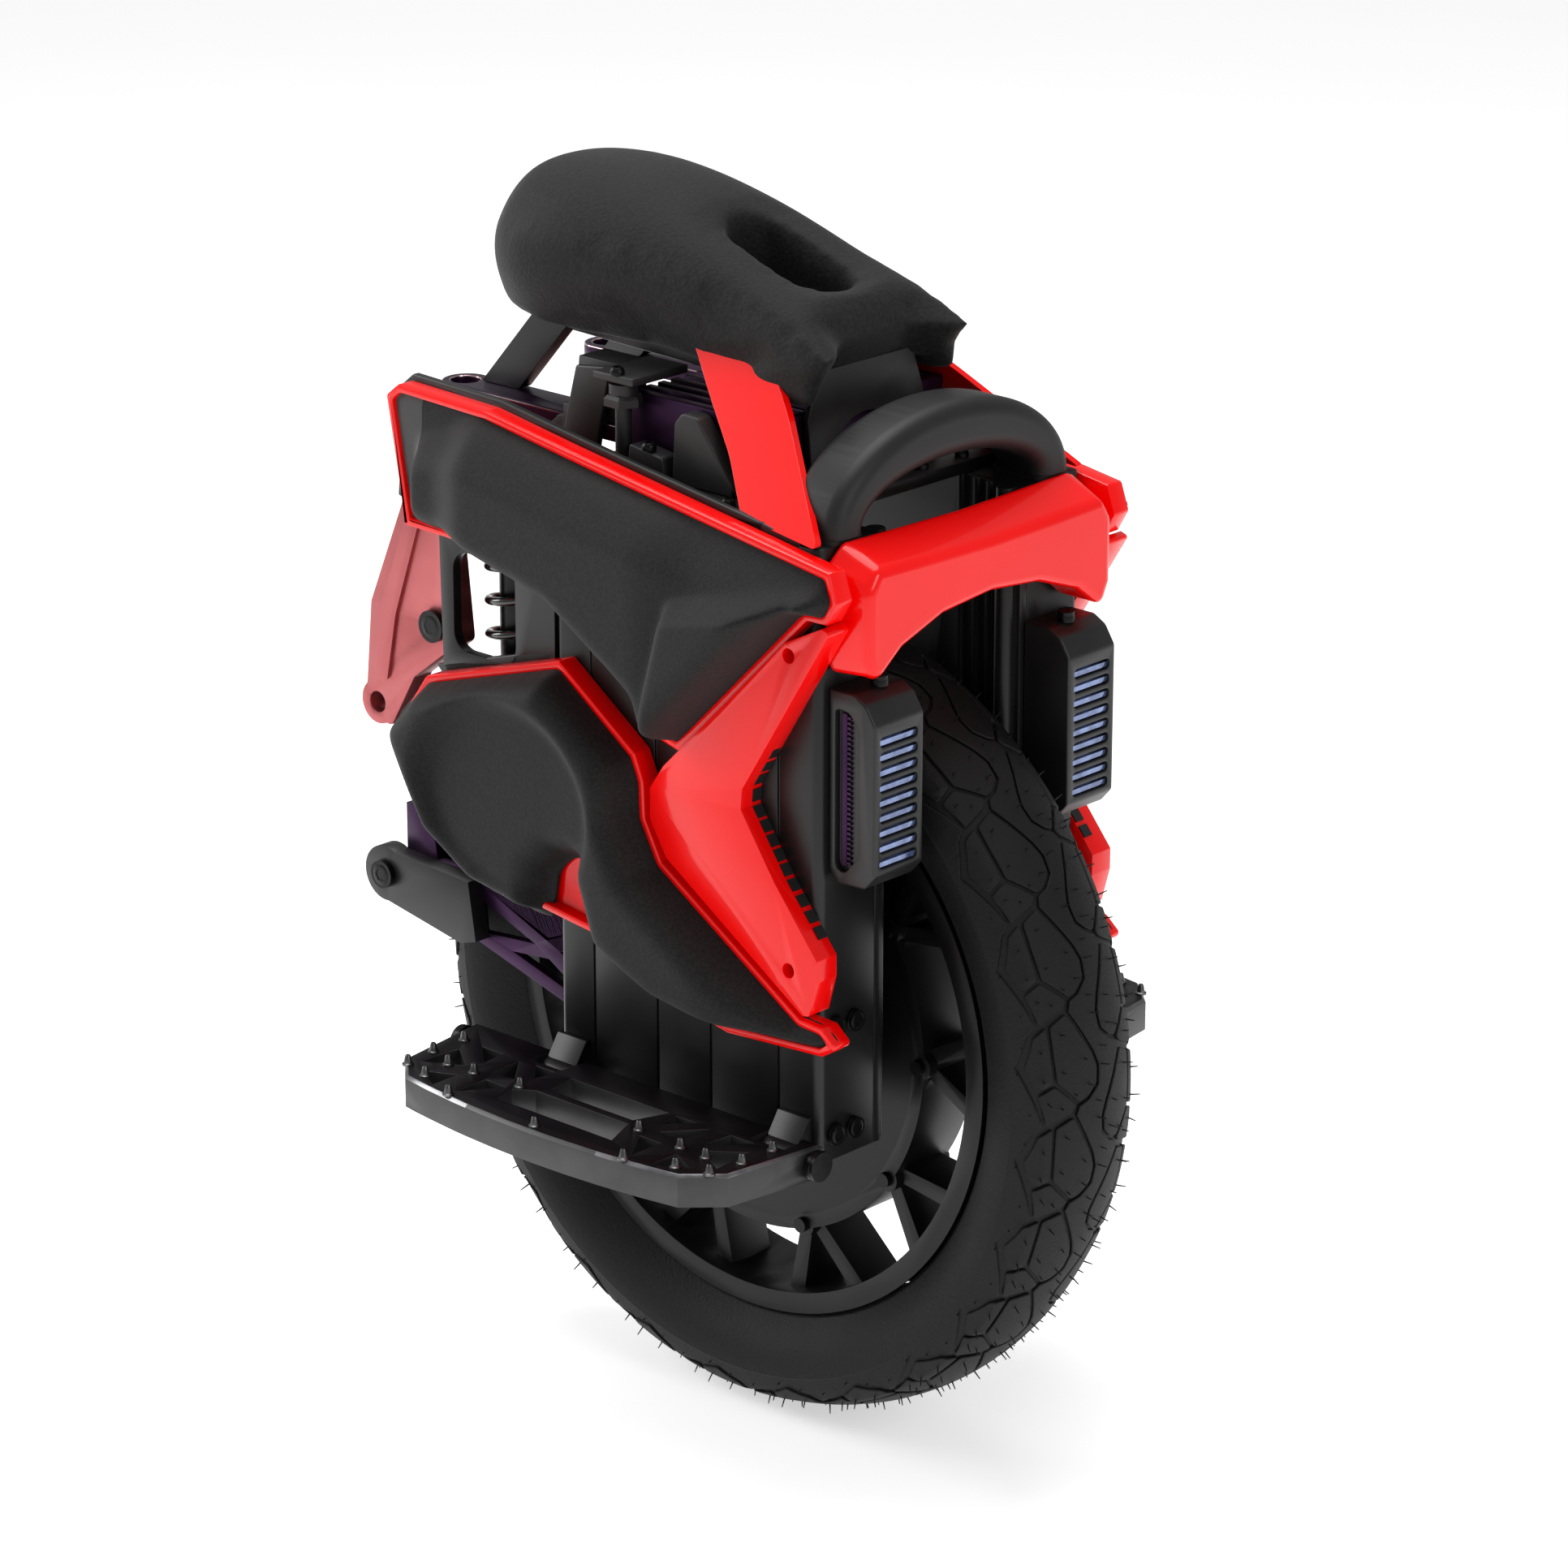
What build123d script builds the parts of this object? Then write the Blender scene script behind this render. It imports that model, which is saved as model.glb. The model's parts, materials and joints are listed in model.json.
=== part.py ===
from build123d import *
from math import cos, radians, sin
import os

os.makedirs("parts", exist_ok=True)

# Frame: +Z up, +X forward, +Y to the machine's left. The origin is on the ground,
# straight under the axle. All sizes are in millimetres.

# Driving dimensions: wheel
tyre_radius = 253
tyre_half_width = 49
rim_radius = 184
rim_half_width = 31
motor_radius = 128
motor_half_width = 45
axle_radius = 12
running_clearance = 0.5
spoke_pairs = 10

# Driving dimensions: body
travel = 75
frame_inner = 60
frame_wall = 6
body_half_width = 114
cover_wall = 4
body_rear = -75
body_front = 135
body_bottom = 218
body_top = 590
panel_depth = 14
panel_floor = 6
rim_lip = 5
pad_crown = 36
pad_shoulder = 22
pad_step = 9
pad_gap = 0.5
deck_thickness = 8

# Driving dimensions: pedals
pedal_top = 235
pedal_thickness = 20
pedal_reach = 92
pedal_half_length = 143
hinge_offset = 12
pin_radius = 4.5
spike_height = 6

# Driving dimensions: rear end and saddle
shock_x = -135
shock_y = 82
shock_foot = 350
spring_mean_radius = 19.5
spring_wire_radius = 2.7
link_pivot = (-184, 477)
link_eye = (-236, 417)
link_bore_radius = 6.5
trim_hole_radius = 4.5
trim_holes = ((127, 531), (127, 342))
bar_centre = (-270, 288)
bar_radius = 11
rail_y = 61
rail_top = 618
rail_thickness = 10
rail_half_width = 15
seat_half_width = 75
seat_rear = -205
seat_front = 95
seat_bottom = 662
seat_top = 756
pan_thickness = 7

wheel_centre = tyre_radius
frame_outer = frame_inner + frame_wall
panel_outer = body_half_width + panel_depth
slider_outer = frame_inner - running_clearance
slider_inner = tyre_half_width + 3
hinge_y = body_half_width + hinge_offset
hinge_z = pedal_top - pedal_thickness / 2
deck_top = body_top + deck_thickness
sides = (("left", 1), ("right", -1))


def side_plane(sign, distance):
    """Plane standing along the machine at a distance from its centre plane."""
    return Plane.XZ.offset(-sign * distance)


def face_of(points, corner=0.0):
    """Closed polygon in the sketch being built, with rounded corners."""
    Polygon(*points, align=None)
    if corner:
        fillet(vertices(), corner)


# Outlines of the side panels, as (x, z)
upper_outline = (
    (-200, 622), (-190, 630), (-117, 627), (-51, 616), (155, 584), (161, 567),
    (153, 553), (138, 553), (38, 453), (15, 459), (10, 480), (-53, 519), (-148, 543), (-186, 544),
)
lower_outline = (
    (-171, 453), (-194, 421), (-161, 362), (-124, 337), (-80, 329), (-16, 321), (30, 298),
    (76, 289), (150, 294), (162, 302), (150, 312), (133, 313), (24, 382), (11, 406), (10, 428),
    (3, 444), (-58, 487),
)
trim_outline = (
    (29, 443), (124, 538), (152, 552), (158, 550), (91, 443), (90, 431), (116, 393), (149, 353),
    (149, 340), (143, 318), (138, 317), (31, 387), (18, 408), (18, 427),
)
pad_notch = ((-72, 320), (-67, 358), (-54, 370), (-38, 372), (-30, 358), (-14, 315))

# ---------------------------------------------------------------- wheel
tread_drop = 9
sidewall_radius = 222
bead_y = 27
tyre_wall = 8
bead_width = 11
flange_height = 5
bead_top = rim_radius + flange_height + running_clearance
with BuildPart() as tyre:
    with BuildSketch(Plane.XY) as section:
        with BuildLine():
            shoulder = (tyre_radius - tread_drop, tyre_half_width - 13)
            crown = ThreePointArc(
                (shoulder[0], -shoulder[1]), (tyre_radius, 0), (shoulder[0], shoulder[1]))
            ThreePointArc(crown @ 1, (sidewall_radius, tyre_half_width), (bead_top, bead_y))
            Polyline((bead_top, bead_y), (rim_radius + 2, bead_y), (rim_radius + 2, -bead_y),
                     (bead_top, -bead_y))
            ThreePointArc((bead_top, -bead_y), (sidewall_radius, -tyre_half_width), crown @ 0)
        make_face()
        with BuildLine():
            inner = (shoulder[0] - tyre_wall, shoulder[1] - tyre_wall)
            roof = ThreePointArc(
                (inner[0], -inner[1]), (tyre_radius - tyre_wall, 0), (inner[0], inner[1]))
            ThreePointArc(roof @ 1, (sidewall_radius - 4, tyre_half_width - tyre_wall - 4),
                          (rim_radius + 2, bead_y - bead_width))
            Line((rim_radius + 2, bead_y - bead_width), (rim_radius + 2, bead_width - bead_y))
            ThreePointArc((rim_radius + 2, bead_width - bead_y),
                          (sidewall_radius - 4, tyre_wall + 4 - tyre_half_width), roof @ 0)
        make_face(mode=Mode.SUBTRACT)
    revolve(axis=Axis.Y)
tyre.part = tyre.part.moved(Location((0, 0, wheel_centre)))
tyre.part.label = "tyre"
export_step(tyre.part, "parts/tyre.step")

barrel_wall = 8
hub_ring_wall = 9
hub_ring_half_width = 24
spoke_half_depth = 17
spoke_width = 9
boss_radius = 8
boss_circle = motor_radius + hub_ring_wall - 3
screw_hole_radius = 2.6
valve_radius = 4
with BuildPart() as rim:
    with BuildSketch(Plane.XY):
        with BuildLine():
            Polyline(
                (rim_radius - barrel_wall, -rim_half_width), (rim_radius + flange_height, -rim_half_width),
                (rim_radius + flange_height, -bead_y - 1), (rim_radius + 2, -bead_y),
                (rim_radius + 2, bead_y), (rim_radius + flange_height, bead_y + 1),
                (rim_radius + flange_height, rim_half_width), (rim_radius - barrel_wall, rim_half_width),
                (rim_radius - barrel_wall + 2, 0), close=True)
        make_face()
    revolve(axis=Axis.Y)
    with BuildSketch(Plane.XZ):
        Circle(motor_radius + hub_ring_wall)
        Circle(motor_radius, mode=Mode.SUBTRACT)
    extrude(amount=hub_ring_half_width, both=True)
    with BuildSketch(Plane.XZ):
        with PolarLocations(0, spoke_pairs):
            for lean in (-1, 1):
                foot = Vector(boss_circle, lean * 3)
                tip = Vector(rim_radius - barrel_wall + 3, lean * 27)
                along = (tip - foot).normalized()
                across = Vector(-along.Y, along.X) * spoke_width / 2
                corners = (foot - across, tip - across * 1.3, tip + across * 1.3, foot + across)
                Polygon(*[(c.X, c.Y) for c in corners], align=None)
    extrude(amount=spoke_half_depth, both=True)
    with BuildSketch(Plane.XZ):
        with PolarLocations(boss_circle, spoke_pairs):
            Circle(boss_radius)
    extrude(amount=hub_ring_half_width, both=True)
    with BuildSketch(Plane.XZ):
        Circle(motor_radius)
    extrude(amount=rim_half_width, both=True, mode=Mode.SUBTRACT)
    with BuildSketch(Plane.XZ):
        with PolarLocations(boss_circle, spoke_pairs):
            Circle(screw_hole_radius)
    extrude(amount=hub_ring_half_width, both=True, mode=Mode.SUBTRACT)
    with BuildSketch(Plane.YZ):
        Circle(valve_radius)
    extrude(amount=-tyre_radius, mode=Mode.SUBTRACT)
rim.part = rim.part.moved(Location((0, 0, wheel_centre)))
rim.part.label = "rim"
export_step(rim.part, "parts/rim.step")

cover_step = 30
cover_skin = 6
bearing_radius = 26
stator_radius = motor_radius - 16
stator_half_width = 16
for side, sign in sides:
    with BuildPart() as motor_cover:
        with BuildSketch(Plane.XY):
            with BuildLine():
                Polyline(
                    (axle_radius + running_clearance, motor_half_width),
                    (bearing_radius + 8, motor_half_width), (bearing_radius + 12, motor_half_width - 4),
                    (88, motor_half_width - 6), (94, cover_step), (motor_radius, cover_step - 6),
                    (motor_radius, 0), (motor_radius - cover_skin, 0),
                    (motor_radius - cover_skin, cover_step - 6 - cover_skin), (92, cover_step - cover_skin),
                    (84, motor_half_width - 6 - cover_skin), (bearing_radius, motor_half_width - 6 - cover_skin),
                    (axle_radius + running_clearance, motor_half_width - 6 - cover_skin), close=True)
            make_face()
        revolve(axis=Axis.Y)
    placed = motor_cover.part if sign > 0 else motor_cover.part.mirror(Plane.XZ)
    motor_cover.part = placed.moved(Location((0, 0, wheel_centre)))
    motor_cover.part.label = f"motor_cover_{side}"
    export_step(motor_cover.part, f"parts/motor_cover_{side}.step")

screw_head_radius = 4.6
screw_head_height = 4
with BuildPart() as motor_screws:
    for side, sign in sides:
        with BuildSketch(side_plane(sign, hub_ring_half_width)):
            with PolarLocations(boss_circle, spoke_pairs):
                Circle(screw_head_radius)
        extrude(amount=-sign * screw_head_height)
    with BuildSketch(Plane.XZ):
        with PolarLocations(boss_circle, spoke_pairs):
            Circle(screw_hole_radius)
    extrude(amount=hub_ring_half_width, both=True)
motor_screws.part = motor_screws.part.moved(Location((0, 0, wheel_centre)))
motor_screws.part.label = "motor_screws"
export_step(motor_screws.part, "parts/motor_screws.step")

with BuildPart() as valve_stem:
    with BuildSketch(Plane.YZ.offset(-(rim_radius + 12))):
        Circle(valve_radius)
    extrude(amount=50)
valve_stem.part = valve_stem.part.moved(Location((0, 0, wheel_centre)))
valve_stem.part.label = "valve_stem"
export_step(valve_stem.part, "parts/valve_stem.step")

# ---------------------------------------------------------------- axle and sliders
axle_length_half = 74
with BuildPart() as axle:
    with BuildSketch(Plane.XZ):
        Circle(axle_radius)
    extrude(amount=axle_length_half, both=True)
axle.part = axle.part.moved(Location((0, 0, wheel_centre)))
axle.part.label = "axle"
export_step(axle.part, "parts/axle.step")

with BuildPart() as stator:
    with BuildSketch(Plane.XZ):
        Circle(stator_radius)
        Circle(axle_radius, mode=Mode.SUBTRACT)
    extrude(amount=stator_half_width, both=True)
stator.part = stator.part.moved(Location((0, 0, wheel_centre)))
stator.part.label = "stator"
export_step(stator.part, "parts/stator.step")

slider_half_length = 55
slider_bottom = 208
slider_top = 345
foot_thickness = 12
shock_seat_radius = 24
foot_z = shock_foot - foot_thickness
for side, sign in sides:
    with BuildPart() as slider:
        with BuildSketch(side_plane(sign, slider_inner)):
            face_of((
                (-slider_half_length, slider_bottom), (slider_half_length, slider_bottom),
                (slider_half_length, slider_top), (-slider_half_length, slider_top + 10),
                (shock_x + shock_seat_radius, shock_foot), (shock_x - shock_seat_radius, shock_foot),
                (shock_x - shock_seat_radius, foot_z), (shock_x, foot_z), (-slider_half_length, foot_z - 25)))
        extrude(amount=-sign * (slider_outer - slider_inner))
        with BuildSketch(Plane.XY.offset(foot_z)):
            with Locations((shock_x, sign * (slider_inner + shock_y + 8) / 2)):
                Rectangle(2 * shock_seat_radius, shock_y + 8 - slider_inner)
            with Locations((shock_x, sign * (shock_y + 8))):
                Circle(shock_seat_radius - 8)
        extrude(amount=foot_thickness)
        with BuildSketch(side_plane(sign, slider_inner)):
            with Locations((0, wheel_centre)):
                Circle(axle_radius)
        extrude(amount=-sign * (slider_outer - slider_inner), mode=Mode.SUBTRACT)
    slider.part.label = f"slider_{side}"
    export_step(slider.part, f"parts/slider_{side}.step")

nut_radius = 19
nut_length = 10
with BuildPart() as axle_nuts:
    for side, sign in sides:
        with BuildSketch(side_plane(sign, slider_outer)):
            RegularPolygon(nut_radius, 6)
            Circle(axle_radius, mode=Mode.SUBTRACT)
        extrude(amount=-sign * nut_length)
axle_nuts.part = axle_nuts.part.moved(Location((0, 0, wheel_centre)))
axle_nuts.part.label = "axle_nuts"
export_step(axle_nuts.part, "parts/axle_nuts.step")

# ---------------------------------------------------------------- springs and dampers
shaft_radius = 6
shaft_length = 120
spring_seat = 6
damper_radius = 13
damper_bottom = shock_foot + spring_seat + travel + 12
damper_top = 548
eye_z = damper_top + 16
hanger_plate = 3.5
eye_inner = rail_y + rail_half_width + hanger_plate + running_clearance
eye_width = 12
spring_top = 530
spring_turns = 8
with BuildPart() as shock_shafts:
    for side, sign in sides:
        with BuildSketch(Plane.XY.offset(shock_foot)):
            with Locations((shock_x, sign * shock_y)):
                Circle(shock_seat_radius)
        extrude(amount=spring_seat)
        with BuildSketch(Plane.XY.offset(shock_foot)):
            with Locations((shock_x, sign * shock_y)):
                Circle(shaft_radius)
        extrude(amount=shaft_length)
shock_shafts.part.label = "shock_shafts"
export_step(shock_shafts.part, "parts/shock_shafts.step")

with BuildPart() as shock_bodies:
    for side, sign in sides:
        with BuildSketch(Plane.XY.offset(damper_bottom)):
            with Locations((shock_x, sign * shock_y)):
                Circle(damper_radius)
        extrude(amount=damper_top + 4 - damper_bottom)
        with BuildSketch(Plane.XY.offset(spring_top)):
            with Locations((shock_x, sign * shock_y)):
                Circle(shock_seat_radius)
        extrude(amount=spring_seat)
        with BuildSketch(Plane.XY.offset(damper_bottom)):
            with Locations((shock_x, sign * shock_y)):
                Circle(shaft_radius + running_clearance)
        extrude(amount=damper_top - damper_bottom, mode=Mode.SUBTRACT)
        with BuildSketch(side_plane(sign, eye_inner)):
            with Locations((shock_x, eye_z)):
                Circle(damper_radius - 0.5)
        extrude(amount=-sign * eye_width)
        with BuildSketch(side_plane(sign, eye_inner)):
            with Locations((shock_x, eye_z)):
                Circle(pin_radius)
        extrude(amount=-sign * eye_width, mode=Mode.SUBTRACT)
shock_bodies.part.label = "shock_bodies"
export_step(shock_bodies.part, "parts/shock_bodies.step")

spring_bottom = shock_foot + spring_seat
coil_rise = spring_top - spring_bottom - 2 * spring_wire_radius
with BuildPart() as shock_springs:
    for side, sign in sides:
        with BuildLine() as coil:
            Helix(
                pitch=coil_rise / spring_turns, height=coil_rise, radius=spring_mean_radius,
                center=(shock_x, sign * shock_y, spring_bottom + spring_wire_radius))
        with BuildSketch(Plane(origin=coil.wire() @ 0, z_dir=coil.wire() % 0)):
            Circle(spring_wire_radius)
        sweep(path=coil.wire(), is_frenet=True)
shock_springs.part.label = "shock_springs"
export_step(shock_springs.part, "parts/shock_springs.step")

# ---------------------------------------------------------------- chassis sides
slot_half_width = nut_radius + 3
column_radius = 6
column_x = 126
column_y = frame_inner - 3
rail_width = 9
rail_front_top = 430
rail_rear_top = slider_top - 30
rib_depth = 2
for side, sign in sides:
    with BuildPart() as side_frame:
        with BuildSketch(side_plane(sign, frame_inner)):
            face_of(((body_rear, body_bottom), (body_front, body_bottom), (body_front, body_top),
                     (body_rear, body_top)))
        extrude(amount=-sign * frame_wall)
        with BuildSketch(side_plane(sign, frame_inner)):
            with Locations((0, wheel_centre + travel / 2)):
                SlotOverall(travel + 2 * slot_half_width, 2 * slot_half_width, rotation=90)
        extrude(amount=-sign * frame_wall, mode=Mode.SUBTRACT)
        with BuildSketch(side_plane(sign, slider_inner)):
            for edge, top in ((1, rail_front_top), (-1, rail_rear_top - 10)):
                start = edge * (slider_half_length + running_clearance)
                face_of(((start, body_bottom), (start + edge * rail_width, body_bottom),
                         (start + edge * rail_width, top), (start, top)))
        extrude(amount=-sign * (frame_inner - slider_inner))
        with BuildSketch(Plane.XY.offset(body_bottom)):
            with Locations((column_x, sign * column_y)):
                Circle(column_radius)
        extrude(amount=body_top - body_bottom)
        with BuildSketch(side_plane(sign, frame_inner - rib_depth)):
            for x in (88, 100, 110):
                face_of(((x, body_bottom), (x + 3, body_bottom), (x + 3, body_top), (x, body_top)))
        extrude(amount=-sign * rib_depth)
    side_frame.part.label = f"side_frame_{side}"
    export_step(side_frame.part, f"parts/side_frame_{side}.step")

groove_width = 1.6
groove_depth = 1.5
groove_places = (-46, 6, 49, 103)
for side, sign in sides:
    with BuildPart() as side_cover:
        with BuildSketch(side_plane(sign, frame_outer)):
            face_of(((body_rear, body_bottom), (body_front, body_bottom), (body_front, body_top),
                     (body_rear, body_top)))
        extrude(amount=-sign * (body_half_width - frame_outer))
        fillet(side_cover.edges().filter_by(Axis.Z).sort_by(Axis.Y)[-2:] if sign > 0
               else side_cover.edges().filter_by(Axis.Z).sort_by(Axis.Y)[:2], 6)
        with BuildSketch(side_plane(sign, frame_outer)):
            face_of(((body_rear + cover_wall, body_bottom + cover_wall),
                     (body_front - cover_wall, body_bottom + cover_wall),
                     (body_front - cover_wall, body_top - cover_wall),
                     (body_rear + cover_wall, body_top - cover_wall)))
        extrude(amount=-sign * (body_half_width - frame_outer - cover_wall), mode=Mode.SUBTRACT)
        with BuildSketch(side_plane(sign, body_half_width - groove_depth)):
            for x in groove_places:
                face_of(((x, body_bottom), (x + groove_width, body_bottom),
                         (x + groove_width, body_top), (x, body_top)))
        extrude(amount=-sign * groove_depth, mode=Mode.SUBTRACT)
    side_cover.part.label = f"side_cover_{side}"
    export_step(side_cover.part, f"parts/side_cover_{side}.step")

battery_inner = 78
battery_gap = 6
for side, sign in sides:
    with BuildPart() as battery_pack:
        with BuildSketch(side_plane(sign, battery_inner)):
            face_of(((body_rear + battery_gap, body_bottom + cover_wall),
                     (body_front - battery_gap, body_bottom + cover_wall),
                     (body_front - battery_gap, body_top - battery_gap),
                     (body_rear + battery_gap, body_top - battery_gap)), 5)
        extrude(amount=-sign * (body_half_width - cover_wall - battery_inner))
    battery_pack.part.label = f"battery_pack_{side}"
    export_step(battery_pack.part, f"parts/battery_pack_{side}.step")

# ---------------------------------------------------------------- deck and electronics
deck_front = 92
box_rear = -50
box_front = 62
box_top = 642
with BuildPart() as top_deck:
    with BuildSketch(Plane.XY.offset(body_top)):
        face_of(((body_rear, -body_half_width), (deck_front, -body_half_width),
                 (deck_front, body_half_width), (body_rear, body_half_width)))
    extrude(amount=deck_thickness)
top_deck.part.label = "top_deck"
export_step(top_deck.part, "parts/top_deck.step")

box_half_width = rail_y + rail_half_width
with BuildPart() as controller_box:
    with BuildSketch(Plane.XY.offset(deck_top)):
        face_of(((box_rear, -box_half_width), (box_front, -box_half_width),
                 (box_front, box_half_width), (box_rear, box_half_width)), 4)
    extrude(amount=box_top - deck_top)
    fin_count = 14
    fin_depth = 5
    with BuildSketch(Plane.XY.offset(box_top - fin_depth)):
        with GridLocations(0, 2 * box_half_width / fin_count, 1, fin_count - 1):
            Rectangle(box_front - box_rear, box_half_width / fin_count)
    extrude(amount=fin_depth, mode=Mode.SUBTRACT)
controller_box.part.label = "controller_box"
export_step(controller_box.part, "parts/controller_box.step")

# ---------------------------------------------------------------- front arch, nose bar and lamps
gasket_thickness = 3
arch_rear = 96
arch_depth = 42
arch_foot_z = body_top + gasket_thickness
arch_outer = (104, 60)
arch_inner = (76, 28)
gasket_front = body_front + 1
with BuildPart() as arch_gaskets:
    with BuildSketch(Plane.XY.offset(body_top)):
        foot_y = (arch_inner[0] + arch_outer[0]) / 2
        with Locations(*[((arch_rear + gasket_front) / 2, sign * foot_y) for side, sign in sides]):
            RectangleRounded(gasket_front - arch_rear, arch_outer[0] - arch_inner[0], 6)
    extrude(amount=gasket_thickness)
arch_gaskets.part.label = "arch_gaskets"
export_step(arch_gaskets.part, "parts/arch_gaskets.step")

with BuildPart() as front_arch:
    with BuildSketch(Plane.YZ.offset(arch_rear)):
        Ellipse(*arch_outer)
        Ellipse(*arch_inner, mode=Mode.SUBTRACT)
        with Locations((0, -arch_outer[1] / 2)):
            Rectangle(3 * arch_outer[0], arch_outer[1], mode=Mode.SUBTRACT)
    extrude(amount=arch_depth)
    fillet(front_arch.faces().filter_by(Axis.X).edges().filter_by(GeomType.ELLIPSE), 11)
front_arch.part = front_arch.part.moved(Location((0, 0, arch_foot_z)))
front_arch.part.label = "front_arch"
export_step(front_arch.part, "parts/front_arch.step")

nose_rear = body_front + 1
nose_front = 166
nose_half_width = body_half_width - 3
with BuildPart() as nose_bar:
    with BuildSketch(Plane.YZ.offset(nose_rear)):
        with BuildLine():
            top = Spline((-nose_half_width, 582), (-70, 592), (0, 594), (70, 592), (nose_half_width, 582))
            Line(top @ 1, (nose_half_width + 2, 550))
            Line((nose_half_width + 2, 550), (88, 513))
            ThreePointArc((88, 513), (0, 549), (-88, 513))
            Line((-88, 513), (-nose_half_width - 2, 550))
            Line((-nose_half_width - 2, 550), top @ 0)
        make_face()
    extrude(amount=nose_front - nose_rear)
    chamfer(nose_bar.faces().sort_by(Axis.X)[-1].edges(), 7)
nose_bar.part.label = "nose_bar"
export_step(nose_bar.part, "parts/nose_bar.step")

pod_inner = 64
pod_outer = 106
pod_front = 170
pod_bottom = 392
pod_top = 508
pod_wall = 4
louvre_count = 9
pod_screw = (152, 82)
for side, sign in sides:
    with BuildPart() as lamp_pod:
        with BuildSketch(side_plane(sign, pod_inner)):
            face_of(((body_front, pod_bottom), (pod_front - 4, pod_bottom + 6), (pod_front, pod_bottom + 12),
                     (pod_front, pod_top - 18), (body_front + 12, pod_top), (body_front, pod_top)))
        extrude(amount=-sign * (pod_outer - pod_inner))
        with BuildSketch(Plane.YZ.offset(pod_front - pod_wall - 6)):
            with Locations((sign * (pod_inner + pod_outer) / 2, (pod_bottom + pod_top) / 2 - 6)):
                Rectangle(pod_outer - pod_inner - 2 * pod_wall, pod_top - pod_bottom - 34)
        extrude(amount=pod_wall + 6, mode=Mode.SUBTRACT)
        with BuildSketch(Plane.XY.offset(pod_top - 14)):
            with Locations((pod_screw[0], sign * pod_screw[1])):
                Circle(screw_hole_radius)
        extrude(amount=14, mode=Mode.SUBTRACT)
    lamp_pod.part.label = f"lamp_pod_{side}"
    export_step(lamp_pod.part, f"parts/lamp_pod_{side}.step")

louvre_pitch = (pod_top - pod_bottom - 34) / louvre_count
with BuildPart() as lamp_lenses:
    for side, sign in sides:
        with BuildSketch(Plane.YZ.offset(pod_front - pod_wall - 6)):
            with Locations((sign * (pod_inner + pod_outer) / 2, (pod_bottom + pod_top) / 2 - 6)):
                Rectangle(pod_outer - pod_inner - 2 * pod_wall, pod_top - pod_bottom - 34)
        extrude(amount=3)
        with BuildSketch(Plane.YZ.offset(pod_front - pod_wall - 3)):
            with Locations((sign * (pod_inner + pod_outer) / 2, (pod_bottom + pod_top) / 2 - 6)):
                with GridLocations(0, louvre_pitch, 1, louvre_count):
                    Rectangle(pod_outer - pod_inner - 2 * pod_wall, louvre_pitch / 3)
        extrude(amount=5)
lamp_lenses.part.label = "lamp_lenses"
export_step(lamp_lenses.part, "parts/lamp_lenses.step")

# ---------------------------------------------------------------- side panels, pads and trim
for side, sign in sides:
    for name, points, notch in (
            ("upper", upper_outline, None), ("lower", lower_outline, pad_notch)):
        with BuildPart() as panel:
            with BuildSketch(side_plane(sign, body_half_width)):
                face_of(points, 3)
            extrude(amount=-sign * panel_depth)
            with BuildSketch(side_plane(sign, body_half_width + panel_floor)):
                face_of(points, 3)
                offset(amount=-rim_lip, mode=Mode.REPLACE)
            extrude(amount=-sign * (panel_depth - panel_floor), mode=Mode.SUBTRACT)
        panel.part.label = f"{name}_panel_{side}"
        export_step(panel.part, f"parts/{name}_panel_{side}.step")

        with BuildPart() as pad:
            for inset, reach in ((0, pad_shoulder), (pad_step, pad_crown)):
                with BuildSketch(side_plane(sign, body_half_width + panel_floor)):
                    face_of(points, 3)
                    offset(amount=-rim_lip - pad_gap - inset, mode=Mode.REPLACE)
                    if notch:
                        Polygon(*notch, align=None, mode=Mode.SUBTRACT)
                extrude(amount=-sign * (reach - panel_floor))
        pad.part.label = f"{name}_pad_{side}"
        export_step(pad.part, f"parts/{name}_pad_{side}.step")

    with BuildPart() as side_trim:
        with BuildSketch(side_plane(sign, body_half_width)):
            face_of(trim_outline, 2)
            with Locations(*trim_holes):
                Circle(trim_hole_radius, mode=Mode.SUBTRACT)
        extrude(amount=-sign * (panel_depth + 3))
    side_trim.part.label = f"side_trim_{side}"
    export_step(side_trim.part, f"parts/side_trim_{side}.step")

# ---------------------------------------------------------------- saddle and its supports
pan_half_width = seat_half_width - 7
pan_rear = -190
pan_front = 30
grip_length = 84
grip_width = 44
grip_x = 8
pan_bottom = seat_bottom - pan_thickness
skirt_bottom = seat_bottom - 12
with BuildPart() as seat_pan:
    with BuildSketch(Plane.XY.offset(pan_bottom)):
        with Locations(((pan_rear + pan_front) / 2, 0)):
            RectangleRounded(pan_front - pan_rear, 2 * pan_half_width, 20)
        with Locations((grip_x, 0)):
            SlotOverall(grip_length, grip_width, mode=Mode.SUBTRACT)
    extrude(amount=pan_thickness)
seat_pan.part.label = "seat_pan"
export_step(seat_pan.part, "parts/seat_pan.step")

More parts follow.
